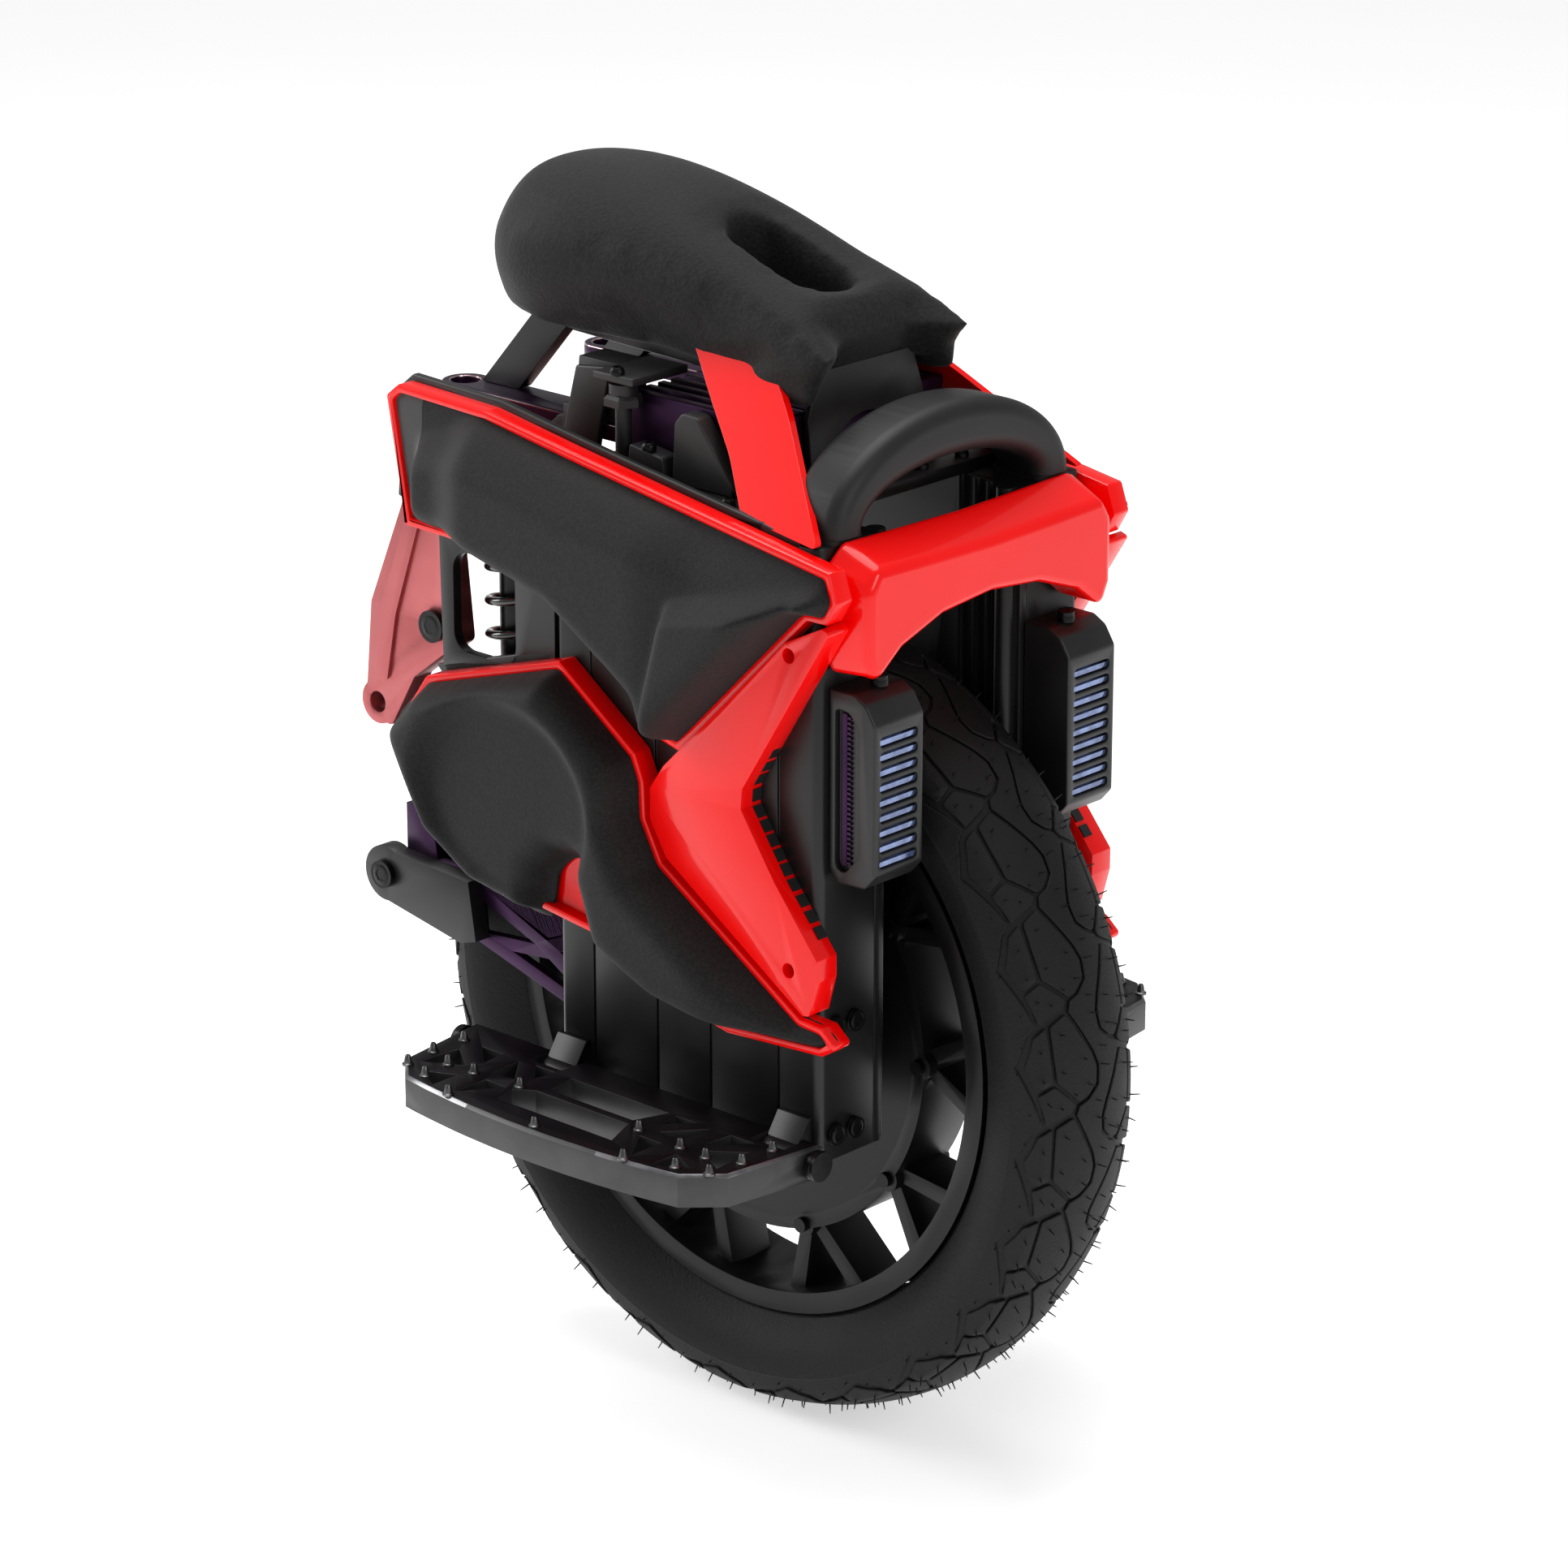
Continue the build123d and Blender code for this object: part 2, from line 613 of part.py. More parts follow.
with BuildPart() as seat:
    with BuildSketch(side_plane(-1, seat_half_width)):
        with BuildLine():
            back = Spline((-170, seat_bottom), (seat_rear, 706), (-190, 740), (-130, seat_top), (-20, 735), (60, 706))
            Line(back @ 1, (seat_front, 684))
            Line((seat_front, 684), (seat_front - 13, seat_bottom))
            Line((seat_front - 13, seat_bottom), back @ 0)
        make_face()
    extrude(amount=-2 * seat_half_width)
    with BuildSketch(Plane.XY.offset(seat_bottom)):
        with BuildLine():
            near = Spline((seat_front, -66), (20, -62), (-60, -68), (-120, -seat_half_width))
            ThreePointArc(near @ 1, (seat_rear, 0), (-120, seat_half_width))
            far = Spline((-120, seat_half_width), (-60, 68), (20, 62), (seat_front, 66))
            Line(far @ 1, near @ 0)
        make_face()
    extrude(amount=seat_top + 10 - seat_bottom, mode=Mode.INTERSECT)
    with BuildSketch(Plane.XY.offset(seat_bottom)):
        with Locations((grip_x, 0)):
            SlotOverall(grip_length, grip_width)
    extrude(amount=seat_top - seat_bottom, mode=Mode.SUBTRACT)
    with BuildSketch(Plane.XY.offset(skirt_bottom)):
        for side, sign in sides:
            face_of(((38, sign * 50), (78, sign * 50), (84, sign * 64), (36, sign * 64)))
    extrude(amount=seat_bottom + 6 - skirt_bottom)
seat.part.label = "seat"
export_step(seat.part, "parts/seat.step")

with BuildPart() as seat_posts:
    for side, sign in sides:
        with BuildSketch(side_plane(sign, rail_y - 5)):
            face_of(((-191, rail_top), (-160, rail_top), (-124, pan_bottom), (-155, pan_bottom)))
        extrude(amount=-sign * 10)
seat_posts.part.label = "seat_posts"
export_step(seat_posts.part, "parts/seat_posts.step")

strut_width = 8
for side, sign in sides:
    with BuildPart() as strut:
        for level, rear, front, inner in (
                (deck_top, 76, 130, body_half_width - strut_width), (625, 52, 107, 102),
                (pan_bottom - 8, 24, 82, pan_half_width + 12), (seat_bottom - 0.5, -6, 66, pan_half_width)):
            with BuildSketch(Plane.XY.offset(level)):
                face_of(((rear, sign * inner), (front, sign * inner),
                         (front, sign * (inner + strut_width)), (rear, sign * (inner + strut_width))))
        loft(ruled=True)
    strut.part.label = f"strut_{side}"
    export_step(strut.part, f"parts/strut_{side}.step")

rail_front = box_rear
rail_end_x = -200
slot_half = 9
with BuildPart() as rear_rails:
    for side, sign in sides:
        with BuildSketch(Plane.XY.offset(rail_top - rail_thickness)):
            with Locations((rail_end_x, sign * rail_y)):
                Circle(rail_half_width)
            face_of(((rail_end_x, sign * rail_y - rail_half_width), (rail_front, sign * rail_y - rail_half_width),
                     (rail_front, sign * rail_y + rail_half_width), (rail_end_x, sign * rail_y + rail_half_width)))
            with Locations((rail_end_x - 1, sign * rail_y)):
                Circle(slot_half, mode=Mode.SUBTRACT)
        extrude(amount=rail_thickness)
rear_rails.part.label = "rear_rails"
export_step(rear_rails.part, "parts/rear_rails.step")

hanger_inner = 52
hanger_outer = 74
with BuildPart() as shock_hangers:
    for side, sign in sides:
        with BuildSketch(side_plane(sign, hanger_inner)):
            face_of(((-96, rail_top), (-58, rail_top), (-58, pan_bottom), (-92, pan_bottom)))
        extrude(amount=-sign * (hanger_outer - hanger_inner))
        with BuildSketch(side_plane(sign, rail_y + rail_half_width)):
            face_of(((-104, rail_top), (-70, rail_top), (-100, 580), (-118, 556), (-145, 556), (-150, 562),
                     (-150, 576)))
            with Locations((shock_x, eye_z)):
                Circle(pin_radius, mode=Mode.SUBTRACT)
        extrude(amount=-sign * hanger_plate)
        with BuildSketch(side_plane(sign, hanger_outer - 2)):
            face_of(((-100, rail_top), (-70, rail_top), (-70, rail_top + 8), (-100, rail_top + 8)))
        extrude(amount=-sign * (rail_y + rail_half_width + hanger_plate - hanger_outer + 2))
shock_hangers.part.label = "shock_hangers"
export_step(shock_hangers.part, "parts/shock_hangers.step")

# ---------------------------------------------------------------- rear plates, links and tail bar
plate_inner = shock_y + shock_seat_radius + 1
plate_outer = body_half_width
link_thickness = 16
with BuildPart() as rear_plates:
    for side, sign in sides:
        with BuildSketch(side_plane(sign, plate_inner)):
            face_of(((body_rear, 580), (-204, 580), (-206, 556), (-172, 546), (-170, 458), (-152, 434),
                     (-112, 434), (body_rear, 462)))
            with Locations((shock_x + 1, 500)):
                RectangleRounded(52, 62, 12, mode=Mode.SUBTRACT)
            with Locations((shock_x, eye_z)):
                Circle(pin_radius, mode=Mode.SUBTRACT)
        extrude(amount=-sign * (plate_outer - plate_inner))
rear_plates.part.label = "rear_plates"
export_step(rear_plates.part, "parts/rear_plates.step")

for side, sign in sides:
    with BuildPart() as rear_link:
        with BuildSketch(side_plane(sign, plate_inner - link_thickness)):
            face_of(((-247, 408), (-240, 481), (-206, 560), (-176, 572), (-165, 469), (-203, 440), (-224, 404)), 5)
            with Locations(link_eye):
                Circle(14)
                Circle(link_bore_radius, mode=Mode.SUBTRACT)
            with Locations(link_pivot):
                Circle(pin_radius, mode=Mode.SUBTRACT)
        extrude(amount=-sign * link_thickness)
    rear_link.part.label = f"rear_link_{side}"
    export_step(rear_link.part, f"parts/rear_link_{side}.step")

truss_inner = 54
truss_rear = -262
truss_lap = 10
arm_thickness = 12
for side, sign in sides:
    with BuildPart() as rear_truss:
        with BuildSketch(side_plane(sign, truss_inner)):
            face_of(((body_rear + truss_lap, 302), (-235, 302), (-240, 334), (truss_rear, 334), (truss_rear, 301),
                     (-246, 290), (-240, 272), (-203, 258), (body_rear, 222), (body_rear + truss_lap, 222)))
            for window in (((-190, 293), (-95, 293), (-138, 275)), ((-86, 287), (-86, 240), (-128, 268)),
                           ((-198, 286), (-150, 268), (-196, 264)), ((-138, 261), (-96, 237), (-170, 258))):
                Polygon(*window, align=None, mode=Mode.SUBTRACT)
        extrude(amount=-sign * (frame_inner - truss_inner))
    rear_truss.part.label = f"rear_truss_{side}"
    export_step(rear_truss.part, f"parts/rear_truss_{side}.step")

with BuildPart() as rear_arms:
    for side, sign in sides:
        with BuildSketch(side_plane(sign, frame_inner)):
            with Locations(bar_centre):
                Circle(18)
            face_of(((-278, 272), (-262, 304), (-196, 300), (-190, 262), (-204, 258)))
            with Locations(bar_centre):
                Circle(pin_radius, mode=Mode.SUBTRACT)
        extrude(amount=-sign * arm_thickness)
rear_arms.part.label = "rear_arms"
export_step(rear_arms.part, "parts/rear_arms.step")

with BuildPart() as rear_bar:
    with BuildSketch(Plane.XZ):
        with Locations(bar_centre):
            Circle(bar_radius)
            Circle(pin_radius, mode=Mode.SUBTRACT)
    extrude(amount=frame_inner, both=True)
rear_bar.part.label = "rear_bar"
export_step(rear_bar.part, "parts/rear_bar.step")

with BuildPart() as mudguard:
    with BuildSketch(Plane.YZ.offset(truss_rear)):
        face_of(((-truss_inner, 302), (truss_inner, 302), (truss_inner, 334), (-truss_inner, 334)))
    extrude(amount=3)
mudguard.part.label = "mudguard"
export_step(mudguard.part, "parts/mudguard.step")

# ---------------------------------------------------------------- pedals
pedal_inner = body_half_width + 4
ear_clear = 1
clip_places = (-62, 118)
clip_width = 24
for side, sign in sides:
    near, far = sign * pedal_inner, sign * (hinge_y + pedal_reach)
    with BuildPart() as pedal:
        with BuildSketch(Plane.XY.offset(pedal_top - pedal_thickness)):
            with BuildLine():
                outer = ThreePointArc((-112, far - sign * 10), (0, far), (112, far - sign * 10))
                Polyline(outer @ 1, (pedal_half_length - 10, far - sign * 30), (pedal_half_length, near),
                         (-pedal_half_length, near), (10 - pedal_half_length, far - sign * 30), outer @ 0)
            make_face()
        extrude(amount=pedal_thickness)
        chamfer(pedal.faces().sort_by(Axis.Z)[-1].edges(), 2)
        with BuildSketch(Plane.XY.offset(pedal_top)):
            for rows in (((-36, 30), (44, 30), (36, 52), (-32, 52)), ((-50, 66), (-38, 58), (38, 58), (48, 82), (-46, 82))):
                Polygon(*[(x, sign * (body_half_width + y)) for x, y in rows], align=None)
            for end in (-1, 1):
                for window in (((122, 72), (119, 42), (97, 58)), ((112, 30), (94, 30), (92, 48)),
                               ((77, 56), (78, 32), (60, 54)), ((66, 30), (50, 30), (52, 46)),
                               ((110, 82), (90, 72), (90, 92)), ((72, 91), (72, 66), (55, 66))):
                    Polygon(*[(end * x, sign * (body_half_width + y)) for x, y in window], align=None)
        extrude(amount=-pedal_thickness, mode=Mode.SUBTRACT)
        with BuildSketch(Plane.XY.offset(pedal_top)):
            for x in clip_places:
                with Locations((x, sign * hinge_y)):
                    Rectangle(clip_width + 2 * ear_clear, 2 * hinge_offset + 2)
        extrude(amount=-pedal_thickness, mode=Mode.SUBTRACT)
        with BuildSketch(Plane.YZ.offset(-pedal_half_length)):
            with Locations((sign * hinge_y, hinge_z)):
                Circle(pin_radius + 0.3)
        extrude(amount=2 * pedal_half_length, mode=Mode.SUBTRACT)
    pedal.part.label = f"pedal_{side}"
    export_step(pedal.part, f"parts/pedal_{side}.step")

    with BuildPart() as pedal_spikes:
        with BuildSketch(Plane.XY.offset(pedal_top)):
            for end in (-1, 1):
                with Locations(*[(end * x, sign * (body_half_width + y)) for x, y in (
                        (127, 30), (127, 56), (106, 64), (124, 80), (85, 63), (103, 86), (72, 97), (49, 60))]):
                    Circle(2.4)
            with Locations((0, sign * (body_half_width + 97))):
                Circle(2.4)
        extrude(amount=spike_height, taper=8)
    pedal_spikes.part.label = f"pedal_spikes_{side}"
    export_step(pedal_spikes.part, f"parts/pedal_spikes_{side}.step")

with BuildPart() as pedal_clips:
    for side, sign in sides:
        for x in clip_places:
            with BuildSketch(Plane.YZ.offset(x - clip_width / 2)):
                with Locations((sign * hinge_y, hinge_z)):
                    Circle(8.5)
                face_of(((sign * body_half_width, hinge_z - 8.5), (sign * hinge_y, hinge_z - 8.5),
                         (sign * hinge_y, hinge_z + 8.5), (sign * (body_half_width + 3), hinge_z + 22),
                         (sign * body_half_width, hinge_z + 22)))
                with Locations((sign * hinge_y, hinge_z)):
                    Circle(pin_radius, mode=Mode.SUBTRACT)
            extrude(amount=clip_width)
pedal_clips.part.label = "pedal_clips"
export_step(pedal_clips.part, "parts/pedal_clips.step")

pin_head_radius = 9
with BuildPart() as pedal_pins:
    for side, sign in sides:
        with BuildSketch(Plane.YZ.offset(-pedal_half_length - 1)):
            with Locations((sign * hinge_y, hinge_z)):
                Circle(pin_radius)
        extrude(amount=2 * pedal_half_length + 2)
        for start in (-pedal_half_length - 6, pedal_half_length + 1):
            with BuildSketch(Plane.YZ.offset(start)):
                with Locations((sign * hinge_y, hinge_z)):
                    Circle(pin_head_radius)
            extrude(amount=5)
pedal_pins.part.label = "pedal_pins"
export_step(pedal_pins.part, "parts/pedal_pins.step")

# ---------------------------------------------------------------- body fasteners
button_radius = 6.5
button_height = 3.5
with BuildPart() as body_screws:
    for side, sign in sides:
        with BuildSketch(Plane.YZ.offset(body_front)):
            with Locations(*[(sign * y, z) for y in (84, 100) for z in (234, 301)]):
                Circle(button_radius)
        extrude(amount=button_height)
        with BuildSketch(Plane.XY.offset(pod_top - 14)):
            with Locations((pod_screw[0], sign * pod_screw[1])):
                Circle(screw_hole_radius)
        extrude(amount=14)
        with BuildSketch(Plane.XY.offset(pod_top)):
            with Locations((pod_screw[0], sign * pod_screw[1])):
                Circle(5)
        extrude(amount=6)
        with BuildSketch(side_plane(sign, plate_inner - link_thickness)):
            with Locations(link_pivot):
                Circle(pin_radius)
        extrude(amount=-sign * link_thickness)
        with BuildSketch(side_plane(sign, plate_inner)):
            with Locations(link_pivot):
                Circle(10)
        extrude(amount=-sign * 4)
        with BuildSketch(side_plane(sign, frame_inner - 12)):
            with Locations(bar_centre):
                Circle(pin_radius)
        extrude(amount=-sign * (arm_thickness + 12))
        with BuildSketch(side_plane(sign, frame_inner + arm_thickness)):
            with Locations(bar_centre):
                Circle(9)
        extrude(amount=-sign * 4)
        with BuildSketch(side_plane(sign, rail_y + rail_half_width)):
            with Locations((shock_x, eye_z)):
                Circle(pin_radius)
        extrude(amount=-sign * (plate_outer - rail_y - rail_half_width))
body_screws.part.label = "body_screws"
export_step(body_screws.part, "parts/body_screws.step")
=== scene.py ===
import json
import math
import bpy
import numpy as np
from mathutils import Matrix, Vector

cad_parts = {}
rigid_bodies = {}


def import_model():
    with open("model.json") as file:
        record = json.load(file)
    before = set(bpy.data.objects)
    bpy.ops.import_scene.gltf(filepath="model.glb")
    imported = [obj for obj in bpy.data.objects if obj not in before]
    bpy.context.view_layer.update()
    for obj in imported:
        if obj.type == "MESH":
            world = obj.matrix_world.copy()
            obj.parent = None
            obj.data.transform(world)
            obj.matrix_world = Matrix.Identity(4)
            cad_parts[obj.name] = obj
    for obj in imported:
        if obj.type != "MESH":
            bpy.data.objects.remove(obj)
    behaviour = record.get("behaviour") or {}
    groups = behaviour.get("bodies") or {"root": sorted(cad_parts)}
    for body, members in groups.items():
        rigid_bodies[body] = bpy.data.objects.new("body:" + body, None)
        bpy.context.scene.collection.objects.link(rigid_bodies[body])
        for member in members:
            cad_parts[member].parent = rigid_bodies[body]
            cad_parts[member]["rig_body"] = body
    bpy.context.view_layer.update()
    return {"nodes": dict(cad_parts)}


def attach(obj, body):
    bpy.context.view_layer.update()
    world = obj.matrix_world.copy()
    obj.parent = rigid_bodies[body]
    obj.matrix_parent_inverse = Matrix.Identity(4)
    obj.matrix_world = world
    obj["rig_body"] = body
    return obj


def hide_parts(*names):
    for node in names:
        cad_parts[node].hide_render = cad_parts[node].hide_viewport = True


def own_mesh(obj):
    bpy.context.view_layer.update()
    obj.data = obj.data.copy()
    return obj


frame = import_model()
cadNodes = frame["nodes"]
mm = 0.001
sides = (("left", 1), ("right", -1))
axleHeight = 253  # mm, the wheel's centre above the ground
sharpAngle = 35  # degrees between two faces, past which their edge is broken
print("frame loaded:", len(cadNodes), "nodes")


# ---- modelling helpers
def pick(piece):
    bpy.ops.object.select_all(action="DESELECT")
    piece.select_set(True)
    bpy.context.view_layer.objects.active = piece


def applyModifier(piece, kind, **settings):
    pick(piece)
    modifier = piece.modifiers.new(kind.lower(), kind)
    for key, value in settings.items():
        setattr(modifier, key, value)
    bpy.ops.object.modifier_apply(modifier=modifier.name)


def drawLine(name, points):
    # a line of vertices pulled out one after another, left in edit mode
    corners = [Vector(point) * mm for point in points]
    bpy.ops.object.select_all(action="DESELECT")
    bpy.ops.mesh.primitive_plane_add(size=mm, location=corners[0])
    line = bpy.context.object
    line.name = name
    bpy.ops.object.transform_apply(location=True, rotation=True, scale=True)
    bpy.ops.object.mode_set(mode="EDIT")
    bpy.ops.mesh.select_all(action="SELECT")
    bpy.ops.mesh.merge(type="CENTER")
    for start, end in zip(corners, corners[1:]):
        bpy.ops.mesh.extrude_vertices_move(TRANSFORM_OT_translate={"value": end - start})
    bpy.ops.mesh.select_all(action="SELECT")
    return line


def cutPlate(name, points, depth, corner=0, edge=0):
    # an outline filled, its corners rounded, pulled out by depth and its edges broken
    plate = drawLine(name, points)
    bpy.ops.mesh.edge_face_add()
    if corner:
        bpy.ops.mesh.bevel(affect="VERTICES", offset=corner * mm, segments=5)
    bpy.ops.mesh.select_all(action="SELECT")
    bpy.ops.mesh.extrude_region_move(TRANSFORM_OT_translate={"value": Vector(depth) * mm})
    bpy.ops.mesh.select_all(action="SELECT")
    bpy.ops.mesh.normals_make_consistent(inside=False)
    bpy.ops.object.mode_set(mode="OBJECT")
    if edge:
        applyModifier(plate, "BEVEL", width=edge * mm, segments=3, angle_limit=math.radians(sharpAngle))
    smooth(plate)
    return plate


def sidePlate(name, outline, inner, outer, sign, corner=0, edge=0):
    # a plate that stands along the machine, from its inner to its outer distance
    points = [(x, sign * inner, z) for x, z in outline]
    return cutPlate(name, points, (0, sign * (outer - inner), 0), corner, edge)


def turnProfile(name, profile, centre, steps=120, axis=(0, 1, 0), closed=True):
    # a section of (radius, along) points spun round an axis through centre
    middle = Vector(centre)
    points = [middle + Vector((radius, 0, 0)) + along * Vector(axis) for radius, along in profile]
    turned = drawLine(name, points)
    if closed:
        bpy.ops.mesh.edge_face_add()
        bpy.ops.mesh.delete(type="ONLY_FACE")
        bpy.ops.mesh.select_all(action="SELECT")
    bpy.ops.mesh.spin(steps=steps, angle=math.tau, center=middle * mm, axis=axis)
    bpy.ops.mesh.select_all(action="SELECT")
    bpy.ops.mesh.remove_doubles(threshold=0.02 * mm)
    bpy.ops.mesh.normals_make_consistent(inside=False)
    bpy.ops.object.mode_set(mode="OBJECT")
    smooth(turned)
    return turned


def smooth(piece, angle=32):
    pick(piece)
    bpy.ops.object.shade_smooth_by_angle(angle=math.radians(angle))


def copyNode(nodeName, name, tolerance=1.5):
    # the node's own mesh as a new piece, its loose triangles joined into whole faces
    piece = bpy.data.objects.new(name, cadNodes[nodeName].data.copy())
    bpy.context.scene.collection.objects.link(piece)
    piece.data.materials.clear()
    pick(piece)
    bpy.ops.object.mode_set(mode="EDIT")
    bpy.ops.mesh.select_all(action="SELECT")
    bpy.ops.mesh.customdata_custom_splitnormals_clear()
    bpy.ops.mesh.remove_doubles(threshold=0.01 * mm)
    bpy.ops.mesh.dissolve_limited(angle_limit=math.radians(tolerance))
    bpy.ops.object.mode_set(mode="OBJECT")
    return piece


def breakEdges(nodeName, name, width):
    # a node with its sharp edges rounded, the wide ones in more steps, standing for the node
    piece = copyNode(nodeName, name)
    applyModifier(piece, "BEVEL", width=width * mm, segments=6 if width > 3 else 2,
                  angle_limit=math.radians(sharpAngle), miter_outer="MITER_ARC")
    smooth(piece)
    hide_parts(nodeName)
    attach(piece, cadNodes[nodeName]["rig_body"])
    return piece


def joinPieces(name, pieces):
    bpy.ops.object.select_all(action="DESELECT")
    for piece in pieces:
        piece.select_set(True)
    bpy.context.view_layer.objects.active = pieces[0]
    if len(pieces) > 1:
        bpy.ops.object.join()
    joined = bpy.context.view_layer.objects.active
    joined.name = name
    return joined


def placeCopy(piece, matrix, name):
    # a copy with its own mesh, moved in its mesh
    copy = bpy.data.objects.new(name, piece.data.copy())
    bpy.context.scene.collection.objects.link(copy)
    copy.data.transform(matrix)
    if matrix.determinant() < 0:
        copy.data.flip_normals()
    return copy


def mirrorPiece(piece, name):
    return placeCopy(piece, Matrix.Scale(-1, 4, (0, 1, 0)), name)


def moveAway(*pieces):
    for piece in pieces:
        bpy.data.objects.remove(piece)


def readPoints(piece):
    # the vertices as rows of millimetres
    return np.array([vertex.co for vertex in piece.data.vertices]) / mm


def writePoints(piece, points):
    for vertex, point in zip(piece.data.vertices, points):
        vertex.co = Vector(point) * mm


def finishSoft(piece):
    # the last steps of every padded piece
    applyModifier(piece, "SMOOTH", factor=0.5, iterations=3)
    applyModifier(piece, "SUBSURF", levels=1, render_levels=1)
    pick(piece)
    bpy.ops.object.shade_smooth()


# ---- material helpers
def srgb(colour):
    # a hex colour turned to linear
    channels = [int(colour[place:place + 2], 16) / 255 for place in (1, 3, 5)]
    return tuple(c / 12.92 if c <= 0.04045 else ((c + 0.055) / 1.055) ** 2.4 for c in channels) + (1,)


def addNode(material, kind, settings=None, wires=None):
    node = material.node_tree.nodes.new("ShaderNode" + kind)
    for key, value in (settings or {}).items():
        if key in node.inputs:
            node.inputs[key].default_value = value
        else:
            setattr(node, key, value)
    for socket, source in (wires or {}).items():
        material.node_tree.links.new(source, node.inputs[socket])
    return node


def startMaterial(name, shader):
    material = bpy.data.materials.new(name)
    material.use_nodes = True
    material.node_tree.nodes.clear()
    base = addNode(material, "BsdfPrincipled", shader)
    addNode(material, "OutputMaterial", wires={"Surface": base.outputs["BSDF"]})
    place = addNode(material, "TexCoord").outputs["Object"]
    return material, base, place


def mottle(material, base, place, patch, dark, light, roughness):
    # patches of a finish: colour and roughness drift together over patch millimetres
    cloud = addNode(material, "TexNoise", {"Scale": 1000 / patch, "Detail": 3.0}, {"Vector": place})
    colour = addNode(material, "ValToRGB", wires={"Fac": cloud.outputs["Fac"]})
    colour.color_ramp.elements[0].position = 0.35
    colour.color_ramp.elements[0].color = srgb(dark)
    colour.color_ramp.elements[1].position = 0.68
    colour.color_ramp.elements[1].color = srgb(light)
    dull = addNode(material, "MapRange", {"To Min": roughness[0], "To Max": roughness[1]},
                   {"Value": cloud.outputs["Fac"]})
    material.node_tree.links.new(colour.outputs["Color"], base.inputs["Base Color"])
    material.node_tree.links.new(dull.outputs["Result"], base.inputs["Roughness"])


def grain(material, base, place, size, height, strength, detail=2.0):
    # a fine relief whose lumps are size millimetres across
    lumps = addNode(material, "TexNoise", {"Scale": 1000 / size, "Detail": detail, "Roughness": 0.6},
                    {"Vector": place})
    relief = addNode(material, "Bump", {"Strength": strength, "Distance": height * mm},
                     {"Height": lumps.outputs["Fac"]})
    material.node_tree.links.new(relief.outputs["Normal"], base.inputs["Normal"])


# ---- finishes, each named for what the real one is, or for the light painted into it
# butyl rubber, moulded in an eroded steel mould: near black, dull, with a leathery pebble
tyreRubber, base, place = startMaterial("tyreRubber", {"IOR": 1.5, "Specular IOR Level": 0.28})
mottle(tyreRubber, base, place, 60, "#090909", "#0E0E0E", (0.54, 0.68))
grain(tyreRubber, base, place, 1.7, 0.5, 0.75, 3.0)

# cast alloy under satin black powder coat: black, softly shining, with a faint orange peel
powderCoat, base, place = startMaterial("powderCoat", {"IOR": 1.5, "Specular IOR Level": 0.32})
mottle(powderCoat, base, place, 45, "#070707", "#0B0B0B", (0.36, 0.46))
grain(powderCoat, base, place, 1.2, 0.06, 0.35)

# turned aluminium shell, hard anodised black: darker than the rim, with turning rings left in it
motorShell, base, place = startMaterial("motorShell", {"Metallic": 0.35})
mottle(motorShell, base, place, 35, "#080808", "#0D0D0D", (0.36, 0.46))
rings = addNode(motorShell, "Mapping", {"Location": (0, 0, -axleHeight * mm)}, {"Vector": place})
turning = addNode(motorShell, "TexWave", {"wave_type": "RINGS", "rings_direction": "Y", "Scale": 160.0,
                                          "Distortion": 0.4}, {"Vector": rings.outputs["Vector"]})
relief = addNode(motorShell, "Bump", {"Strength": 0.12, "Distance": 0.05 * mm},
                 {"Height": turning.outputs["Fac"]})
motorShell.node_tree.links.new(relief.outputs["Normal"], base.inputs["Normal"])

# extruded aluminium, bead blasted and anodised black: satin, its tone even, a very fine tooth
blackAnodised, base, place = startMaterial("blackAnodised", {"Metallic": 0.25, "Specular IOR Level": 0.5})
mottle(blackAnodised, base, place, 55, "#111111", "#161616", (0.34, 0.44))
grain(blackAnodised, base, place, 0.9, 0.05, 0.4)

# cast aluminium under matt black paint: a little lighter and rougher than the anodised parts
castBlack, base, place = startMaterial("castBlack", {"Specular IOR Level": 0.5})
mottle(castBlack, base, place, 30, "#161616", "#1E1E1E", (0.42, 0.55))
grain(castBlack, base, place, 1.1, 0.1, 0.5)

# aluminium plate, dyed violet and anodised: dark purple metal with a soft sheen
violetAnodised, base, place = startMaterial("violetAnodised", {"Metallic": 0.8})
mottle(violetAnodised, base, place, 40, "#2A1530", "#3A1F40", (0.30, 0.42))
grain(violetAnodised, base, place, 0.8, 0.04, 0.3)

# milled aluminium, bead blasted and dyed red: a muted satin red, painted lighter and pinker as painted light
# falling on it from behind
redAnodised, base, place = startMaterial("redAnodised", {"Metallic": 0.85})
mottle(redAnodised, base, place, 50, "#A8585A", "#B96567", (0.34, 0.42))
grain(redAnodised, base, place, 0.8, 0.05, 0.3)

# injection moulded ABS under gloss red lacquer: pure strong red with a clear coat over it
redLacquer, base, place = startMaterial("redLacquer", {
    "IOR": 1.5, "Coat Weight": 0.42, "Coat Roughness": 0.05, "Coat IOR": 1.5, "Specular IOR Level": 0.2})
mottle(redLacquer, base, place, 90, "#FA0100", "#FF0302", (0.22, 0.28))
grain(redLacquer, base, place, 7.0, 0.03, 0.25)

# glass filled nylon, moulded in a textured mould: flat dark grey, hardly any shine
mattMoulding, base, place = startMaterial("mattMoulding", {"IOR": 1.5, "Specular IOR Level": 0.4})
mottle(mattMoulding, base, place, 40, "#141414", "#1A1A1A", (0.46, 0.56))
grain(mattMoulding, base, place, 0.8, 0.08, 0.5)

